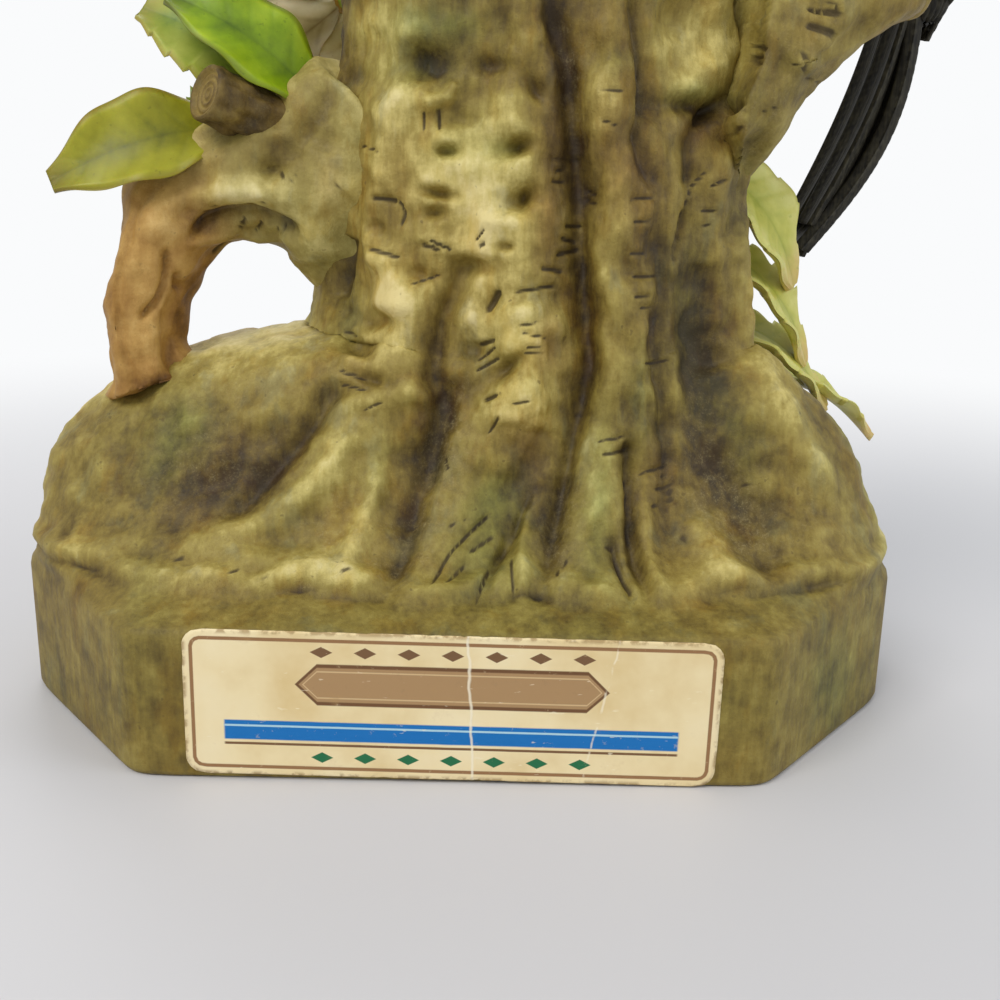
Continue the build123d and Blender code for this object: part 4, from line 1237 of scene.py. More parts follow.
dip = np.zeros(len(stopper_turns))
for k, at in enumerate(notch_turns):
    deep = crown_notch * (1 + 0.5 * (k % 3))
    away = spread(stopper_turns - at)
    dip = np.maximum(dip, deep * np.clip(1 - np.abs(away) / np.where(away > 0, 17, 26), 0, 1))
splinter = 1.3 * np.abs(np.sin(np.radians(stopper_turns) * 31))
splinter = splinter + np.abs(np.sin(np.radians(stopper_turns) * 17 + 1))
rim = crown_top - 0.4 - dip - splinter
rows = [stopper_ring(r, stopper_bottom + d) for r, d in
        ((3, socket_depth), (socket_radius, socket_depth), (socket_radius, 0.6), (socket_radius + 0.4, 0))]
rows.append(stopper_ring(surface_radius(spread(stopper_turns), stopper_bottom) - 0.8, stopper_bottom))
socket_rows = len(rows)
for t in np.linspace(0, 1, 90):
    z = stopper_bottom + 0.6 + (rim - stopper_bottom - 0.6) * t
    rows.append(stopper_ring(surface_radius(spread(stopper_turns), z), z, centre_x(z)))
wall_rows = len(rows)
crown_radius = surface_radius(spread(stopper_turns), rim)
for w, d in ((0.97, 0.2), (0.90, 1.5), (0.80, 5.0), (0.62, 11.0), (0.36, 15.5), (0.10, crown_depth)):
    floor_z = np.minimum(rim, crown_top - d - 1.2 * np.abs(np.sin(np.radians(stopper_turns) * 13)) * w)
    rows.append(stopper_ring(crown_radius * w, floor_z, centre_x(rim)))
grid = np.array(rows)
stopper_u = np.broadcast_to(spread(stopper_turns) * MM_PER_DEGREE, grid.shape[:2])
stopper_wall = np.zeros(grid.shape[:2])
stopper_wall[socket_rows:wall_rows] = 1
bark = np.zeros(grid.shape[:2])
for turn in np.arange(-172, 176, 14.5):
    u = turn * MM_PER_DEGREE
    line = [(u + seeded.uniform(-2, 2), z) for z in np.linspace(228, 300, 5)]
    depth = seeded.uniform(1.0, 2.2)
    bark -= depth * stroke(stopper_u, grid[:, :, 2], line, seeded.uniform(1.3, 2.4), taper=0.1)
grid = raised(grid, bark * stopper_wall)
stopper, stopper_paint = carve(grid, lump=0.9, seed=51.0)
stopper[:socket_rows] = grid[:socket_rows]
stopper_paint["tone"] = stopper_paint["tone"] + 0.08 * bark * stopper_wall
stopper_paint["tone"][wall_rows:] = 0.30 + 0.2 * lumpy(grid[wall_rows:], 0.6, 2.0)
stopper_paint["tan"] = np.zeros(grid.shape[:2])
stopper_paint["tan"][wall_rows - 1:] = 0.5
GREYS = [(44, 31, 8), (88, 72, 28), (126, 110, 60), (152, 136, 84), (190, 174, 122), (212, 198, 150)]
stopper_finish = bark_finish("stopper_bisque", GREYS)
stopper_form = skin("stopper_top_form", [(stopper, stopper_paint)], stopper_finish,
                    "stopper")
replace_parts(stopper_form, "stopper_top")
print("stopper up to", round(float(stopper[:, :, 2].max()), 1), "mm")

# %% [markdown]
# Leaves and petals were cut from rolled porcelain with a knife, folded along the middle
# and stuck on. Each is a thin closed plate swept along its midrib; the tooth of its edge,
# the fold, the arch and the veins are four terms of one formula.

# %% A blade along its midrib
BLADE_STEPS, BLADE_RIBS = 90, 15


def unit(v):
    return np.array(v, float) / np.linalg.norm(v)


def blade(base, along, face, length, width, thickness, fold=0.18, arch=0.12, tooth=0.0, teeth=8,
          blunt=0.12, widest=0.45, vein=0.5, veins=7, ripple=0.0):
    """Rings across a leaf, petal or feather, and how far each point lies along and across."""
    along = unit(along)
    face = unit(np.array(face, float) - along * (np.array(face, float) @ along))
    side = np.cross(along, face)
    t = np.linspace(0, 1, BLADE_STEPS)[:, None]
    half = width / 2 * (blunt + (1 - blunt) * np.sin(math.pi * t ** (math.log(0.5) / math.log(widest))))
    half = half * (1 - tooth * ((t * teeth) % 1.0) * smooth(t / 0.08) * smooth((1 - t) / 0.06))
    ribs_across = np.linspace(-1, 1, 2 * BLADE_RIBS + 1)
    across = np.concatenate([ribs_across, -ribs_across])[None, :]
    top = np.repeat([1.0, 0.0], len(ribs_across))[None, :]
    lift = fold * half * across ** 2 + ripple * np.sin(t * 17 + across * 2) * across ** 2
    lift = lift + length * (arch * np.sin(math.pi * t))
    side_vein = np.abs(((t * veins - np.abs(across) * 1.1) % 1.0) - 0.5)
    ribs = np.maximum(bell(side_vein, 0.13) * smooth(np.abs(across) / 0.1), bell(across, 0.06) * 1.3)
    ribs = ribs * smooth((1 - np.abs(across)) / 0.15) * smooth(t / 0.05)
    soft_edge = thickness * 0.5 * smooth((np.abs(across) - 0.82) / 0.18)
    height = lift + np.where(top > 0, -vein * 0.35 * ribs - soft_edge, soft_edge - thickness)
    way = t * np.ones_like(across)
    grid = np.array(base)[None, None, :] + along * (length * way)[:, :, None]
    grid = raised(raised(grid, half * across, side), height, face)
    return grid, {"along": way, "across": across * np.ones_like(t), "vein": ribs}


plain_blade, _ = blade((0, 0, 0), (0, 0, 1), (0, -1, 0), length=30, width=12, thickness=1.6)
print("a blade is", plain_blade.shape[0], "rings of", plain_blade.shape[1], "points")

# %% [markdown]
# The leaves are painted porcelain: deep in the fold, lighter outside, with an edge
# colour. On the trunk's left they sprout from the arch; down its right edge hangs a
# string of pale serrated ones. A table gives each its place, its run and its size.

# %% The leaves
def leaf_finish(name, deep, plain, light, edge, blush=None):
    """Painted porcelain, from the fold to the edge. A blush colours the far end."""
    paint = Finish(name, roughness=0.42, specular=0.45, subsurface=0.06)
    mottle = paint.noise(210.0, 4.0, 0.6)
    far = abs(paint.attribute("across"))
    tone = 0.30 + far * 0.45 + (mottle - 0.5) * 0.75 - paint.attribute("vein") * 0.16
    colour = paint.ramp(tone, [(0.05, rgb(*deep)), (0.45, rgb(*plain)), (0.85, rgb(*light))])
    rim = far.step(0.80, 1.0) + paint.attribute("along").step(0.82, 1.0) * 0.8
    colour = paint.blend(colour, rgb(*edge), (rim * (0.3 + mottle)).low(1.0) * 0.75)
    if blush:
        colour = paint.blend(colour, rgb(*blush), paint.attribute("along").step(0.70, 1.0) * mottle)
    speck = paint.noise(900.0, 2.0).step(0.66, 0.74)
    colour = paint.blend(colour, rgb(*deep), speck * 0.35)
    height = mottle * 0.6 + paint.noise(1400.0, 2.0) * 0.25
    return paint.shade(colour, 0.36 + mottle * 0.2, height, depth=0.00015, strength=0.5)


leaf_green = leaf_finish("leaf_green", (64, 92, 2), (122, 152, 4), (166, 190, 22), (56, 44, 8))
leaf_moss = leaf_finish("leaf_moss", (88, 92, 6), (142, 140, 20), (174, 170, 40), (104, 84, 20))
leaf_olive = leaf_finish("leaf_olive", (92, 122, 24), (150, 164, 48), (186, 190, 84), (150, 126, 54))
leaf_pale = leaf_finish("leaf_pale", (152, 160, 48), (196, 194, 86), (222, 218, 136), (196, 194, 96),
                        (216, 168, 120))
leaf_length = 36.0
leaf_width = 19.0
leaf_thickness = 1.7


def limb_point(route, radii, share, outward, outside=0.0):
    """A point on a limb's surface, in the direction outward."""
    place = share * (len(route) - 1)
    k = min(len(route) - 2, int(place))
    centre = route[k] + (route[k + 1] - route[k]) * (place - k)
    return centre + unit(outward) * (mix(radii[k], radii[k + 1], place - k) + outside)


def trunk_point(turn, z, outside=0.0):
    radius = float(surface_radius(turn, z)) + outside
    heading = math.radians(turn)
    return np.array([float(centre_x(z)) + radius * math.cos(heading), radius * math.sin(heading), z])


ROOTED = 3.0  # how deep a blade's foot is stuck into what carries it
left_leaves = {  # share along the arch, way out of the limb, way the leaf runs, face, size, finish
    "left_leaf_bright": (0.24, (0.0, -0.45, 1), (-0.80, -0.12, 0.54), (0.34, -0.80, 0.46), 0.84, leaf_green),
    "left_leaf_olive": (0.27, (0.0, -0.05, 1), (-0.90, 0.02, 0.47), (0.22, -0.90, 0.38), 0.92, leaf_olive),
    "left_leaf_lower": (0.43, (0.0, -0.3, 1), (-0.90, -0.30, -0.32), (-0.15, -0.93, 0.33), 0.90, leaf_moss),
    "left_leaf_far": (0.40, (0, 0.9, 0.5), (-0.52, 0.82, 0.20), (0.1, 0.3, 0.95), 0.96, leaf_green),
}
toothed = {"left_leaf_olive": 0.14, "left_leaf_far": 0.14}
broader = {"left_leaf_olive": 1.2, "right_leaf_top": 1.32, "right_leaf_middle": 1.1}
smoother = {"right_leaf_top": 0.06}
right_leaves = {  # turn round the trunk, height share, way the leaf runs, face, size
    "right_leaf_top": (8.0, 0.43, (0.62, 0.10, -0.78), (0.45, -0.60, 0.62), 0.84),
    "right_leaf_middle": (9.0, 0.365, (0.66, 0.08, -0.75), (0.62, -0.42, 0.60), 0.88),
    "right_leaf_low": (11.0, 0.305, (0.80, 0.10, -0.60), (0.55, -0.35, 0.72), 0.88),
    "right_leaf_foot": (17.0, 0.255, (0.90, 0.16, -0.42), (0.35, -0.10, 0.92), 0.94),
}
for name, (share, outward, along, face, size, finish) in left_leaves.items():
    base = limb_point(arch_route, arch_radii, share, outward, -ROOTED)
    width = leaf_width * size * broader.get(name, 1.0)
    leaf, leaf_fields = blade(base, along, face, leaf_length * size, width, leaf_thickness, fold=0.30,
                              tooth=toothed.get(name, 0.0), teeth=7, blunt=0.26, ripple=0.7, vein=0.15)
    leaf_fields["vein"] = leaf_fields["vein"] * 0.4
    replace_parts(skin(name + "_form", [(leaf, leaf_fields)], finish), name)
for name, (turn, share, along, face, size) in right_leaves.items():
    base = trunk_point(turn, trunk_top * share, -ROOTED)
    width = leaf_width * size * broader.get(name, 1.0)
    leaf, leaf_fields = blade(base, along, face, leaf_length * size, width, leaf_thickness, fold=0.25,
                              tooth=smoother.get(name, 0.20), teeth=5, ripple=0.6, vein=0.3)
    leaf_fields["vein"] = leaf_fields["vein"] * 0.6
    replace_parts(skin(name + "_form", [(leaf, leaf_fields)], leaf_pale), name)
print(len(left_leaves) + len(right_leaves), "leaves")

# %% [markdown]
# The blossom looks away from the label, so the photograph shows the backs of its cream
# petals. Its stamens repeat, so a Geometry Nodes tree makes them: it scatters one small
# rod over the heart with a fixed seed, each turned along the surface it stands on.

# %% The blossom
petal_length = 21.0
petal_width = 17.0
petal_thickness = 1.6
petal_count = 6
blossom_height = 126.0
blossom_stalk_radius = 3.4
blossom_heart_radius = 4.5
blossom_reach = 10.0
STALK_TURN = 152.0
stalk_foot = trunk_point(STALK_TURN, blossom_height, -ROOTED)
heart = trunk_point(STALK_TURN, blossom_height, blossom_reach) + np.array([0, 0, blossom_reach / 2])
blossom_face = unit((-0.40, 0.75, 0.50))

petal_paint = leaf_finish("petal_cream", (150, 126, 78), (206, 190, 142), (228, 216, 180), (214, 198, 156))
heart_paint = leaf_finish("blossom_heart", (122, 84, 20), (176, 134, 40), (214, 176, 84), (190, 150, 60))
stalk_route = [stalk_foot, (stalk_foot + heart) / 2, heart]
stalk_radii = blossom_stalk_radius * np.array([1.4, 1.0, 1.0])
stalk_grid, _, _, _ = limb_grid(stalk_route, stalk_radii, (0, 0, 1), step=0.6, points=40)
stalk_grid = closed_ends(stalk_grid)
stalk_grid = raised(stalk_grid, 0.3 * lumpy(stalk_grid, 0.4, 6.0))
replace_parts(skin("blossom_stalk_form", [(stalk_grid, {})], leaf_olive), "blossom_stalk")

heart_profile = [(blossom_heart_radius * math.cos(t) * 0.98,
                  blossom_heart_radius * (0.15 + 0.75 * math.sin(t))) for t in np.linspace(-1.45, 1.45, 30)]
heart_grid, _ = turned(heart, blossom_face, heart_profile, points=48)
heart_grid = raised(heart_grid, 0.25 * lumpy(heart_grid, 1.1, 7.0))
heart_form = skin("blossom_heart_form", [(heart_grid, {})], heart_paint)
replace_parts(heart_form, "blossom_heart")

petal_x = unit(np.cross(blossom_face, (0.0, 0.0, 1.0)))
petal_y = np.cross(blossom_face, petal_x)
for k in range(petal_count):
    turn = 2 * math.pi * (k + 0.25) / petal_count
    out = petal_x * math.cos(turn) + petal_y * math.sin(turn)
    petal_foot = heart + out * (blossom_heart_radius * 0.6)
    petal_way = out + blossom_face * (0.25 + 0.12 * (k % 2))
    petal = blade(petal_foot, petal_way, blossom_face, petal_length, petal_width, petal_thickness,
                  fold=0.4, arch=-0.1, widest=0.6, blunt=0.25, vein=0.35, veins=3, ripple=0.7)
    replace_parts(skin(f"blossom_petal_{k + 1}_form", [petal], petal_paint),
                f"blossom_petal_{k + 1}")
print(petal_count, "petals round", np.round(heart, 1))

# %% [markdown]
# The paper label was stuck on a little crooked. It is a thin rounded sheet with nicked
# edges. Its points lie on rings that keep the outline's form, back sheet and front sheet,
# and each knows its place on the paper in millimetres, for the print.

# %% The label's sheet
label_width = 86.5
label_height = 25.2
label_thickness = 0.3
label_corner = 3.0
label_shift = 0.4
label_middle = 13.3
LABEL_TURN = 0.6  # degrees
label_points = 240


def rounded_reach(turn):
    """How far the label's outline is from its middle, in a direction."""
    c, s = np.abs(np.cos(turn)), np.abs(np.sin(turn))
    w, h, r = label_width / 2, label_height / 2, label_corner
    reach = np.minimum(w / np.maximum(c, 1e-9), h / np.maximum(s, 1e-9))
    to_bend = (w - r) * c + (h - r) * s
    bend = to_bend + np.sqrt(np.maximum(0, to_bend ** 2 - ((w - r) ** 2 + (h - r) ** 2 - r ** 2)))
    in_corner = (reach * c > w - r) & (reach * s > h - r)
    return np.where(in_corner, bend, reach)


label_turns = np.linspace(0, 2 * math.pi, label_points, endpoint=False)
label_turns = label_turns - 0.36 * np.sin(2 * label_turns)  # closer together at the short sides
nicks = [noise.noise(Vector((math.cos(t) * 19, math.sin(t) * 7, 2.0))) for t in label_turns]
reach = rounded_reach(label_turns) - 0.44 * np.maximum(0, np.array(nicks) - 0.12)
outline_u, outline_v = reach * np.cos(label_turns), reach * np.sin(label_turns)
sheet_shares = np.concatenate([np.linspace(0.02, 0.9, 14), np.linspace(0.92, 1.0, 6)])
sheets = []
for front, shares in ((0.0, sheet_shares), (1.0, sheet_shares[::-1])):
    for part in shares:
        depth = np.full(label_points, front * label_thickness * (1 - 0.4 * (part > 0.995)))
        sheets.append(np.stack([outline_u * part, outline_v * part, depth], axis=1))
sheets = np.array(sheets)
u, v, out = sheets[:, :, 0], sheets[:, :, 1], sheets[:, :, 2]
w, h, r = label_width / 2, label_height / 2, label_corner
edge_x, edge_y = np.abs(u) - (w - r), np.abs(v) - (h - r)
inset = r - np.where((edge_x > 0) & (edge_y > 0), np.hypot(edge_x, edge_y), np.maximum(edge_x, edge_y))
label_fields = {"u": u, "v": v, "inset": inset}
c, s = math.cos(math.radians(LABEL_TURN)), math.sin(math.radians(LABEL_TURN))
wrinkle = 0.04 * lumpy(sheets * np.array([1, 1, 0]), 0.35, 9.0) * (out > 0)
label_out = foot_depth / 2 + np.clip(out + wrinkle - 0.03, 0, 0.3)
label_grid = np.stack([label_shift + u * c + v * s, -label_out, label_middle + v * c - u * s], axis=2)
print("label:", label_width, "x", label_height, "mm, turned", LABEL_TURN, "degrees")

# %% [markdown]
# The print is plain: a bordered cream ground, a tan panel, two blue rules and two rows of
# small lozenges. The material draws it from the place on the sheet, which keeps its
# edges sharp at any distance, and then ages it: a crease, scuffs, a worn rim and stains.

# %% The label's print
paper = Finish("label_paper", roughness=0.5, specular=0.35)
across, high, inset_mm = paper.attribute("u"), paper.attribute("v"), paper.attribute("inset")
age = paper.noise(60.0, 4.0, 0.6)
fibre = paper.noise(1500.0, 3.0)
wobble = (paper.noise(260.0, 2.0) - 0.5) * 0.25
ground = paper.ramp(age, [(0.25, rgb(222, 196, 140)), (0.55, rgb(240, 222, 176)), (0.8, rgb(246, 232, 194))])


def bar(value, low_edge, high_edge, soft=0.12):
    """1 between two edges, with a print's soft edge."""
    return value.step(low_edge - soft, low_edge + soft) * (1 - value.step(high_edge - soft, high_edge + soft))


def printed(colour, mask, ink, worn=0.25):
    flaked = paper.noise(700.0, 4.0, 0.7).step(0.62, 0.70)
    return paper.blend(colour, ink, mask * (1 - flaked * worn))


PANEL_HALF = 25.0  # mm on the sheet
PANEL_HIGH = 3.3
PANEL_AT = 3.6
RULE_AT = -4.6
RULE_HIGH = 1.7
RULE_HALF = 37.0
THIN_RULE_AT = -7.0
LOZENGE_AT = 9.2  # above and below the middle
LOZENGE_GAP = 7.0
LOZENGE_ROW = 24.7  # half the length of a row
colour = printed(ground, bar(inset_mm, 1.15, 1.75, 0.08), rgb(150, 112, 74))
panel = ((abs(across) - (PANEL_HALF - PANEL_HIGH)).high(0.0) + abs(high - PANEL_AT)) / PANEL_HIGH
colour = printed(colour, 1 - panel.step(1.05, 1.12), rgb(112, 78, 48))
colour = printed(colour, 1 - panel.step(0.86, 0.93), rgb(172, 138, 96))
colour = printed(colour, bar(panel, 0.66, 0.72, 0.03), rgb(214, 186, 140))
in_rule = 1 - abs(across).step(RULE_HALF - 0.4, RULE_HALF)
rule = bar(high + wobble * 0.3, RULE_AT - RULE_HIGH, RULE_AT + RULE_HIGH)
colour = printed(colour, rule * in_rule, rgb(10, 112, 186))
gleam = bar(high, RULE_AT + RULE_HIGH * 0.35, RULE_AT + RULE_HIGH * 0.55, 0.06)
colour = printed(colour, gleam * in_rule, rgb(176, 214, 226), 0.0)
thin_rule = bar(high, THIN_RULE_AT - 0.22, THIN_RULE_AT + 0.22, 0.06)
colour = printed(colour, thin_rule * in_rule, rgb(120, 88, 58))
beside = across / LOZENGE_GAP
beside = abs(beside - (beside + 0.5).whole()) * LOZENGE_GAP / 1.9
in_row = 1 - abs(across).step(LOZENGE_ROW - 0.1, LOZENGE_ROW + 0.1)
for row_at, ink in ((-LOZENGE_AT, rgb(30, 110, 70)), (LOZENGE_AT, rgb(120, 88, 58))):
    lozenge = beside + abs(high - row_at)
    colour = printed(colour, (1 - lozenge.step(0.9, 1.0)) * in_row, ink)
crease = 1 - abs(across - 3.0 + wobble * 4 + high * 0.05).step(0.05, 0.35)
second = 1 - abs(across - 24.0 + wobble * 5 - high * 0.2).step(0.04, 0.28)
second = second * paper.noise(400.0).step(0.45, 0.6)
colour = paper.blend(colour, rgb(250, 240, 214), (crease * 0.75 + second * 0.6).low(1.0))
scuffs = paper.noise(1.0, 3.0, place=paper.stretched(320.0, 900.0, 1200.0)).step(0.66, 0.72)
colour = paper.blend(colour, rgb(248, 236, 206), scuffs * 0.5)
rim_wear = (1 - inset_mm.step(0.1, 0.9)) * paper.noise(520.0, 4.0).step(0.42, 0.58)
colour = paper.blend(colour, rgb(150, 118, 70), rim_wear * 0.7)
stain = paper.noise(120.0, 5.0, 0.65).step(0.60, 0.80) * 0.35
colour = paper.blend(colour, rgb(186, 150, 92), stain)
paper.shade(colour, 0.42 + age * 0.25, fibre * 0.3 + crease + age * 0.6, depth=0.0001, strength=0.6)
label = skin("paper_label_form", [(label_grid, label_fields)], paper.material)
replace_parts(label, "paper_label")
print("the print's nodes:", len(paper.tree.nodes))

# %% [markdown]
# The bird clings behind the right limb, and only its tail comes into the photograph.
# Its body and head are limbs too, short and round, under the coat of feathers.

# %% Body and head of the bird
bird_length = 70.0
bird_radius = 16.0
bird_head_radius = 12.0
cling = unit((0.34, 0.94, 0))
PERCH = 0.75  # share of the way up the limb
body_middle = limb_point(climb_route, climb_radii, PERCH, cling, bird_radius * 0.92)
body_along = unit((0.02, -0.10, 1))
body_shares = ((-0.50, 0.42, 0.0), (-0.32, 0.80, 0.08), (-0.08, 1.0, 0.14), (0.14, 0.97, 0.12),
               (0.33, 0.78, 0.04), (0.5, 0.58, -0.06))
bird_route = np.array([body_middle + body_along * (bird_length * a) + cling * (bird_radius * o)
                       for a, _, o in body_shares])
bird_radii = np.array([bird_radius * r for _, r, _ in body_shares])
bird_across = np.array([-cling[1], cling[0], 0])
head_middle = bird_route[-1] + body_along * (bird_head_radius * 0.75) - cling * (bird_head_radius * 0.12)
head_look = unit((-0.72, -0.42, 0.40))
head_shares = ((-1.0, 0.45), (-0.65, 0.86), (-0.1, 1.0), (0.5, 0.86), (0.95, 0.45))
head_route = np.array([head_middle + head_look * (bird_head_radius * a) for a, _ in head_shares])
head_radii = np.array([bird_head_radius * r for _, r in head_shares])


def feather_finish(name, dark, sheen, tip):
    """Painted feathers: dark, with paler brush lines and light worn edges."""
    paint = Finish(name, roughness=0.55, specular=0.22)
    lines = paint.noise(1.0, 3.0, place=paint.stretched(1500.0, 1500.0, 90.0))
    cloud = paint.noise(160.0, 3.0)
    barbs = paint.attribute("vein")
    colour = paint.ramp(lines * 0.8 + cloud * 0.4, [(0.50, rgb(*dark)), (0.90, rgb(*sheen))])
    worn = abs(paint.attribute("across")).step(0.86, 1.0) * paint.noise(500.0).step(0.45, 0.6)
    colour = paint.blend(colour, rgb(*tip), (worn * 0.25 + barbs * 0.10).low(1.0))
    return paint.shade(colour, 0.52 + cloud * 0.25, lines + barbs * 0.3, depth=0.0002, strength=0.6)


feather_black = feather_finish("feather_black", (22, 20, 15), (64, 60, 46), (110, 104, 84))
feather_red = feather_finish("feather_crest", (112, 12, 8), (196, 44, 24), (220, 110, 70))
bird_grid, _, _, _ = limb_grid(bird_route, bird_radii * 0.95, bird_across, flat=0.92, points=72)
head_grid, _, _, _ = limb_grid(head_route, head_radii, (0, 0, 1), points=64)
bird_body = skin("bird_body_form", [(closed_ends(bird_grid), {})], feather_black)
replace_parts(bird_body, "bird_body")
bird_head = skin("bird_head_form", [(closed_ends(head_grid, 6), {})], feather_black)
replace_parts(bird_head, "bird_head")
print("the bird's middle is at", np.round(body_middle, 1))

# %% [markdown]
# A Geometry Nodes tree lays the small feathers: one curved scale on every point of a
# coarse copy of the body, standing on the surface and turned tail-ward. Like the other
# tree it has named inputs, and ends by making its copies real and painting them.

# %% The coat of feathers
class Growth(Nodes):
    """A Geometry Nodes tree that lays one small piece on many points."""

    def __init__(self, name, carrier, result, sizes):
        super().__init__(bpy.data.node_groups.new(name, "GeometryNodeTree"))
        kinds = {float: "Float", int: "Int", tuple: "Vector"}
        self.face = self.tree.interface
        self.socket(carrier, "Geometry")
        for title, value in sizes.items():
            self.socket(title, kinds[type(value)]).default_value = value
        self.socket("Paint", "Material")
        self.socket(result, "Geometry", "OUTPUT")
        self.start = self.tree.nodes.new("NodeGroupInput")

    def socket(self, title, kind, way="INPUT"):
        return self.face.new_socket(title, in_out=way, socket_type="NodeSocket" + kind)

    def given(self, title):
        return Wire(self, self.start.outputs[title])

    def facing(self, vector, axis, rotation=(0.0, 0.0, 0.0), pivot="AUTO"):
        """A rotation that turns an axis towards a vector."""
        return self.node("FunctionNodeAlignRotationToVector", {"Rotation": rotation, "Vector": vector},
                         {"axis": axis, "pivot_axis": pivot})

    def lay(self, points, piece, rotation, scale=(1.0, 1.0, 1.0)):
        laid = self.node("GeometryNodeInstanceOnPoints", {
            "Points": points, "Instance": piece, "Rotation": rotation, "Scale": scale})
        real = self.node("GeometryNodeRealizeInstances", {0: laid})
        painted = self.node("GeometryNodeSetMaterial", {"Geometry": real, "Material": self.given("Paint")})
        self.plug(self.tree.nodes.new("NodeGroupOutput").inputs[0], painted)
        return self.tree


def feather_tree():
    """A curved scale on every point, along the surface, tail-ward."""
    coat = Growth("feather_coat", "Carrier", "Coat",
                  {"Length": 0.0062, "Width": 0.0044, "Flow": (0.0, 0.0, -1.0), "Seed": 4})
    length = coat.given("Length")
    width = coat.given("Width")
    plate = coat.node("GeometryNodeMeshGrid", {
        "Size X": width, "Size Y": length, "Vertices X": 5, "Vertices Y": 6})
    x = coat.node("SeparateXYZ", {0: coat.node("GeometryNodeInputPosition")})
    y = x.other("Y")
    far = y / length + 0.5
    narrow = 1.0 - far ** 3.0 * 0.8
    side = x / width
    crown = side * side * (width * -1.1)
    rise = (far * 2.4).wave() * (width * 0.20)
    place = coat.node("CombineXYZ", {0: x * narrow, 1: y + length * 0.3, 2: crown + rise})
    scale_form = coat.node("GeometryNodeSetPosition", {"Geometry": plate, "Position": place})
    stand = coat.facing(coat.node("GeometryNodeInputNormal"), "Z")
    turn = coat.facing(coat.given("Flow"), "Y", stand, "Z")
    size = coat.node("FunctionNodeRandomValue", {2: 0.88, 3: 1.12, "Seed": coat.given("Seed")}, out=1)
    return coat.lay(coat.given("Carrier"), scale_form, turn, size)


def grown(name, carrier, tree, values, body_name="decanter"):
    """Runs a tree on a carrier mesh and keeps its result as a plain piece."""
    modifier = carrier.modifiers.new("grow", "NODES")
    modifier.node_group = tree
    for item in tree.interface.items_tree:
        if item.item_type == "SOCKET" and item.in_out == "INPUT" and item.name in values:
            modifier[item.identifier] = values[item.name]
    ready = carrier.evaluated_get(bpy.context.evaluated_depsgraph_get())
    mesh = bpy.data.meshes.new_from_object(ready)
    mesh.name = name
    carrier.modifiers.remove(modifier)
    bpy.data.objects.remove(carrier)
    mesh.shade_smooth()
    made = bpy.data.objects.new(name, mesh)
    bpy.context.collection.objects.link(made)
    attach(made, body_name)
    print(name, "has", len(mesh.polygons), "faces")
    return made


def points_object(grid):
    """A bare mesh with a point on each place of a coarse grid."""
    mesh = bpy.data.meshes.new("carrier")
    count, points = grid.shape[:2]
    vertices = grid.reshape(-1, 3) * MM
    faces = []
    for k in range(count - 1):
        for j in range(points):
            a, b = k * points + j, k * points + (j + 1) % points
            faces.append((a, b, b + points, a + points))
    mesh.from_pydata(vertices.tolist(), [], faces)
    made = bpy.data.objects.new("carrier", mesh)
    bpy.context.collection.objects.link(made)
    return made


coat = feather_tree()
coarse, _, _, _ = limb_grid(bird_route, bird_radii * 0.93, bird_across, flat=0.92, step=3.1, points=26)
coarse[1::2] = (coarse[1::2] + np.roll(coarse[1::2], -1, axis=1)) / 2  # shifted by half a feather
grown("bird_body_feathers", points_object(coarse), coat,
      {"Length": 0.0062, "Width": 0.0046, "Flow": (0.0, 0.1, -1.0), "Seed": 4, "Paint": feather_black})
coarse, _, _, _ = limb_grid(head_route, head_radii * 0.99, (0, 0, 1), step=2.3, points=26)
grown("bird_head_feathers", points_object(coarse), coat,
      {"Length": 0.0040, "Width": 0.0030, "Flow": tuple(-head_look), "Seed": 9, "Paint": feather_black})

# %% [markdown]
# Wings and tail are stiff feathers laid side by side, each a narrow blade with a shaft
# and barbs. The tail is bent like a bracket, because the bird props itself on it, and
# its tip is what shows at the right edge of the photograph.

# %% Wings, tail, bill, crest and feet
bill_length = 21.0
bill_radius = 3.4
crest_length = 17.0
crest_width = 9.0
tail_length = 60.0
tail_width = 15.0
tail_thickness = 5.2
wing_length = 66.0
wing_width = 26.0
wing_thickness = 3.4
foot_toe_radius = 2.2
horn = leaf_finish("bill_horn", (96, 84, 58), (160, 144, 108), (196, 184, 150), (120, 104, 72))
toes = leaf_finish("bird_foot", (48, 44, 36), (84, 78, 66), (124, 116, 98), (60, 54, 44))
tail_root = bird_route[0] + body_along * (bird_length * 0.08)
tail_along, tail_face = unit((-0.33, -0.05, -0.94)), unit((0.90, 0.30, -0.33))


def fan(root, along, face, length, width, thickness, count, narrow, splay, arch, blunt):
    """Feathers side by side, the middle ones longest and on top."""
    along = unit(along)
    face = unit(np.array(face) - along * (np.array(face) @ along))
    side = np.cross(along, face)
    parts = []
    for j in range(count):
        place = 2 * j / (count - 1) - 1
        base = root + side * (place * (width - narrow) / 2) - face * (abs(place) * thickness * 0.45)
        parts.append(blade(base, along + side * (splay * place), face, length * (1 - 0.10 * place ** 2),
                           narrow, thickness * 0.36, fold=-0.35, arch=arch, blunt=blunt, widest=0.55,
                           vein=0.35, veins=30))
    return parts


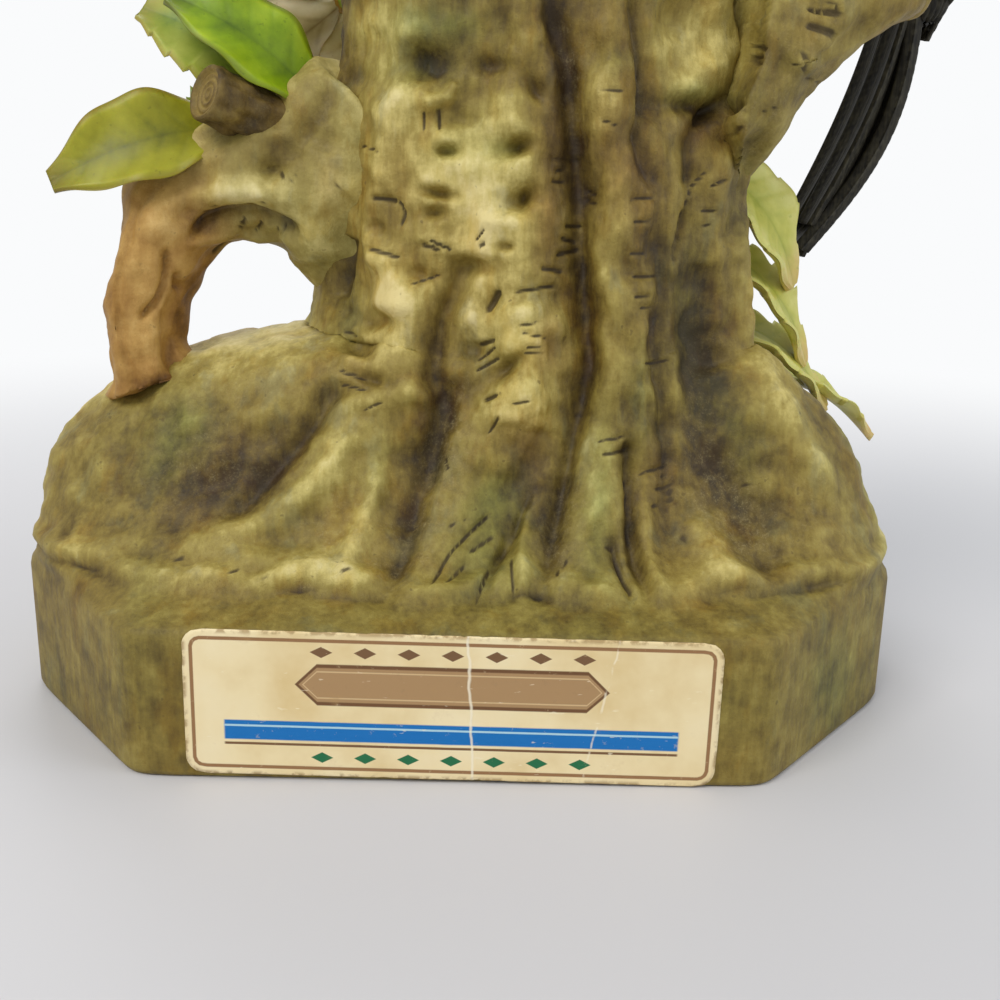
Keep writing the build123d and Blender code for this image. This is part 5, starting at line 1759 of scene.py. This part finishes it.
tail_parts = fan(tail_root + tail_face * 0.3, tail_along, tail_face, tail_length, tail_width * 0.78,
                 tail_thickness, 5, 6.4, 0.0, 0.05, 0.75)
tail_parts.append(blade(tail_root, tail_along, tail_face, tail_length * 0.985, tail_width * 0.80,
                        tail_thickness * 0.8, fold=-0.25, arch=0.12, blunt=0.70, widest=0.55,
                        vein=0.3, veins=34))
tail = skin("bird_tail_form", tail_parts, feather_black)
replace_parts(tail, "bird_tail")
for name, way in (("bird_wing_left", -1), ("bird_wing_right", 1)):
    out = unit(bird_across * way + cling * 0.75)
    wing_root = bird_route[-2] + out * (bird_radius * 0.52)
    wing_end = bird_route[0] + cling * (bird_radius * 0.62) + bird_across * (way * bird_radius * 0.2)
    wing_along = wing_end - wing_root
    wing_parts = fan(wing_root, wing_along, out, wing_length, wing_width, wing_thickness,
                     6, 8.4, -0.06, 0.10, 0.3)
    wing_parts += fan(wing_root + out * 0.6, wing_along, out, wing_length * 0.5, wing_width * 0.9,
                      wing_thickness * 0.8, 5, 8.0, -0.04, 0.14, 0.35)
    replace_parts(skin(name + "_form", wing_parts, feather_black), name)

bill_route = np.array([head_route[-2], head_route[-1] + head_look * (bill_length * 0.5),
                       head_route[-1] + head_look * bill_length])
bill_radii = bill_radius * np.array([1.3, 0.8, 0.22])
bill_grid, _, _, _ = limb_grid(bill_route, bill_radii, (0, 0, 1), step=0.5, points=40)
bill_grid = closed_ends(bill_grid)
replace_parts(skin("bird_bill_form", [(bill_grid, {})], horn), "bird_bill")

crest_root = head_middle + np.array([0, 0, bird_head_radius * 0.55]) + head_look * (bird_head_radius * 0.3)
crest_parts = fan(crest_root, np.array([0, 0, 0.75]) - head_look, head_look + np.array([0, 0, 0.9]),
                  crest_length, crest_width, crest_width * 0.5, 4, 4.6, 0.05, 0.16, 0.3)
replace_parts(skin("bird_crest_form", crest_parts, feather_red), "bird_crest")

for name, way in (("bird_foot_left", -1), ("bird_foot_right", 1)):
    hip = bird_route[2] - cling * (bird_radius * 0.6) + bird_across * (way * bird_radius * 0.55)
    grip_way = bird_across * way * 0.9 - cling * 0.12
    grip = limb_point(climb_route, climb_radii, PERCH + 0.02, grip_way, foot_toe_radius * 0.2)
    knee = (hip + grip) / 2 + bird_across * (way * foot_toe_radius * 2)
    toe = grip - cling * (foot_toe_radius * 2.6) + np.array([0, 0, foot_toe_radius * 2])
    foot_radii = foot_toe_radius * np.array([1.3, 1.1, 1.0, 0.5])
    foot_grid, _, share, _ = limb_grid([hip, knee, grip, toe], foot_radii, (0, 0, 1), step=0.5, points=32)
    foot_grid = raised(foot_grid, 0.18 * np.sin(share * 90))
    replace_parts(skin(name + "_form", [(closed_ends(foot_grid), {})], toes), name)
print("feathers in the tail:", len(tail_parts))

# %% [markdown]
# The eyes are two flat drops of dark glaze, turned out of one profile. They ride on the
# bird without a solid of their own, because they are paint rather than parts.

# %% The eyes
eye_paint = Finish("eye_glaze", roughness=0.12, specular=0.7)
iris = eye_paint.noise(300.0)
eye_paint.shade(eye_paint.ramp(iris, [(0.3, rgb(16, 12, 8)), (0.7, rgb(40, 30, 18))]), 0.12 + iris * 0.05)
head_side = unit(np.cross(head_look, (0, 0, 1)))
eye_parts = []
eye_profile = [(1.7 * math.cos(t), 1.1 * math.sin(t)) for t in np.linspace(-1.4, 1.4, 16)]
for way in (-1, 1):
    out = unit(head_side * way + head_look * 0.35 + np.array([0, 0, 0.25]))
    eye_place = head_middle + head_look * 3.0 + out * (bird_head_radius * 0.84)
    eye_grid, _ = turned(eye_place, out, eye_profile, points=28)
    eye_parts.append((eye_grid, {}))
skin("bird_eyes", eye_parts, eye_paint.material)
print(len(eye_parts), "eyes")

# %% [markdown]
# The stamens are rods that widen to a tip. A second small tree scatters them over the
# outer half of the blossom's heart with a fixed seed, each square to the surface.

# %% The stamens
def stamen_tree():
    """Rods on scattered points of a surface."""
    tuft = Growth("stamens", "Heart", "Stamens",
                  {"Density": 180000.0, "Length": 0.004, "Thickness": 0.0004, "Seed": 3})
    thickness = tuft.given("Thickness")
    rod = tuft.node("GeometryNodeMeshCone", {
        "Vertices": 8, "Side Segments": 3, "Radius Bottom": thickness, "Radius Top": thickness * 1.5,
        "Depth": tuft.given("Length")})
    points = tuft.node("GeometryNodeDistributePointsOnFaces", {
        "Mesh": tuft.given("Heart"), "Density": tuft.given("Density"), "Seed": tuft.given("Seed")})
    return tuft.lay(points, rod, tuft.facing(points.other("Normal"), "Z"))


cap_rows = heart_grid[len(heart_grid) // 2:]
grown("blossom_stamens", points_object(cap_rows), stamen_tree(),
      {"Density": 420000.0, "Length": 0.0048, "Thickness": 0.00035, "Seed": 3, "Paint": heart_paint})

# %% [markdown]
# The cork keeps the frame's own solid, a plain cylinder as in life. It only gets its
# material: a mottled brown with dark pores, which Voronoi cells give.

# %% The cork
cork_paint = Finish("cork", roughness=0.85, specular=0.2)
cells = cork_paint.node("TexVoronoi", {"Vector": cork_paint.place, "Scale": 620.0}, out="Distance")
pores = cells.step(0.10, 0.35)
grain = cork_paint.noise(300.0, 5.0, 0.65)
browns = [(0.3, rgb(150, 106, 62)), (0.6, rgb(190, 146, 96)), (0.8, rgb(212, 172, 122))]
cork_colour = cork_paint.blend(rgb(92, 58, 30), cork_paint.ramp(grain, browns), pores)
cork_paint.shade(cork_colour, 0.8 + grain * 0.1, pores * 0.8 + grain * 0.4, depth=0.0003)
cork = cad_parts["stopper_cork"]
cork.data.materials.clear()
cork.data.materials.append(cork_paint.material)
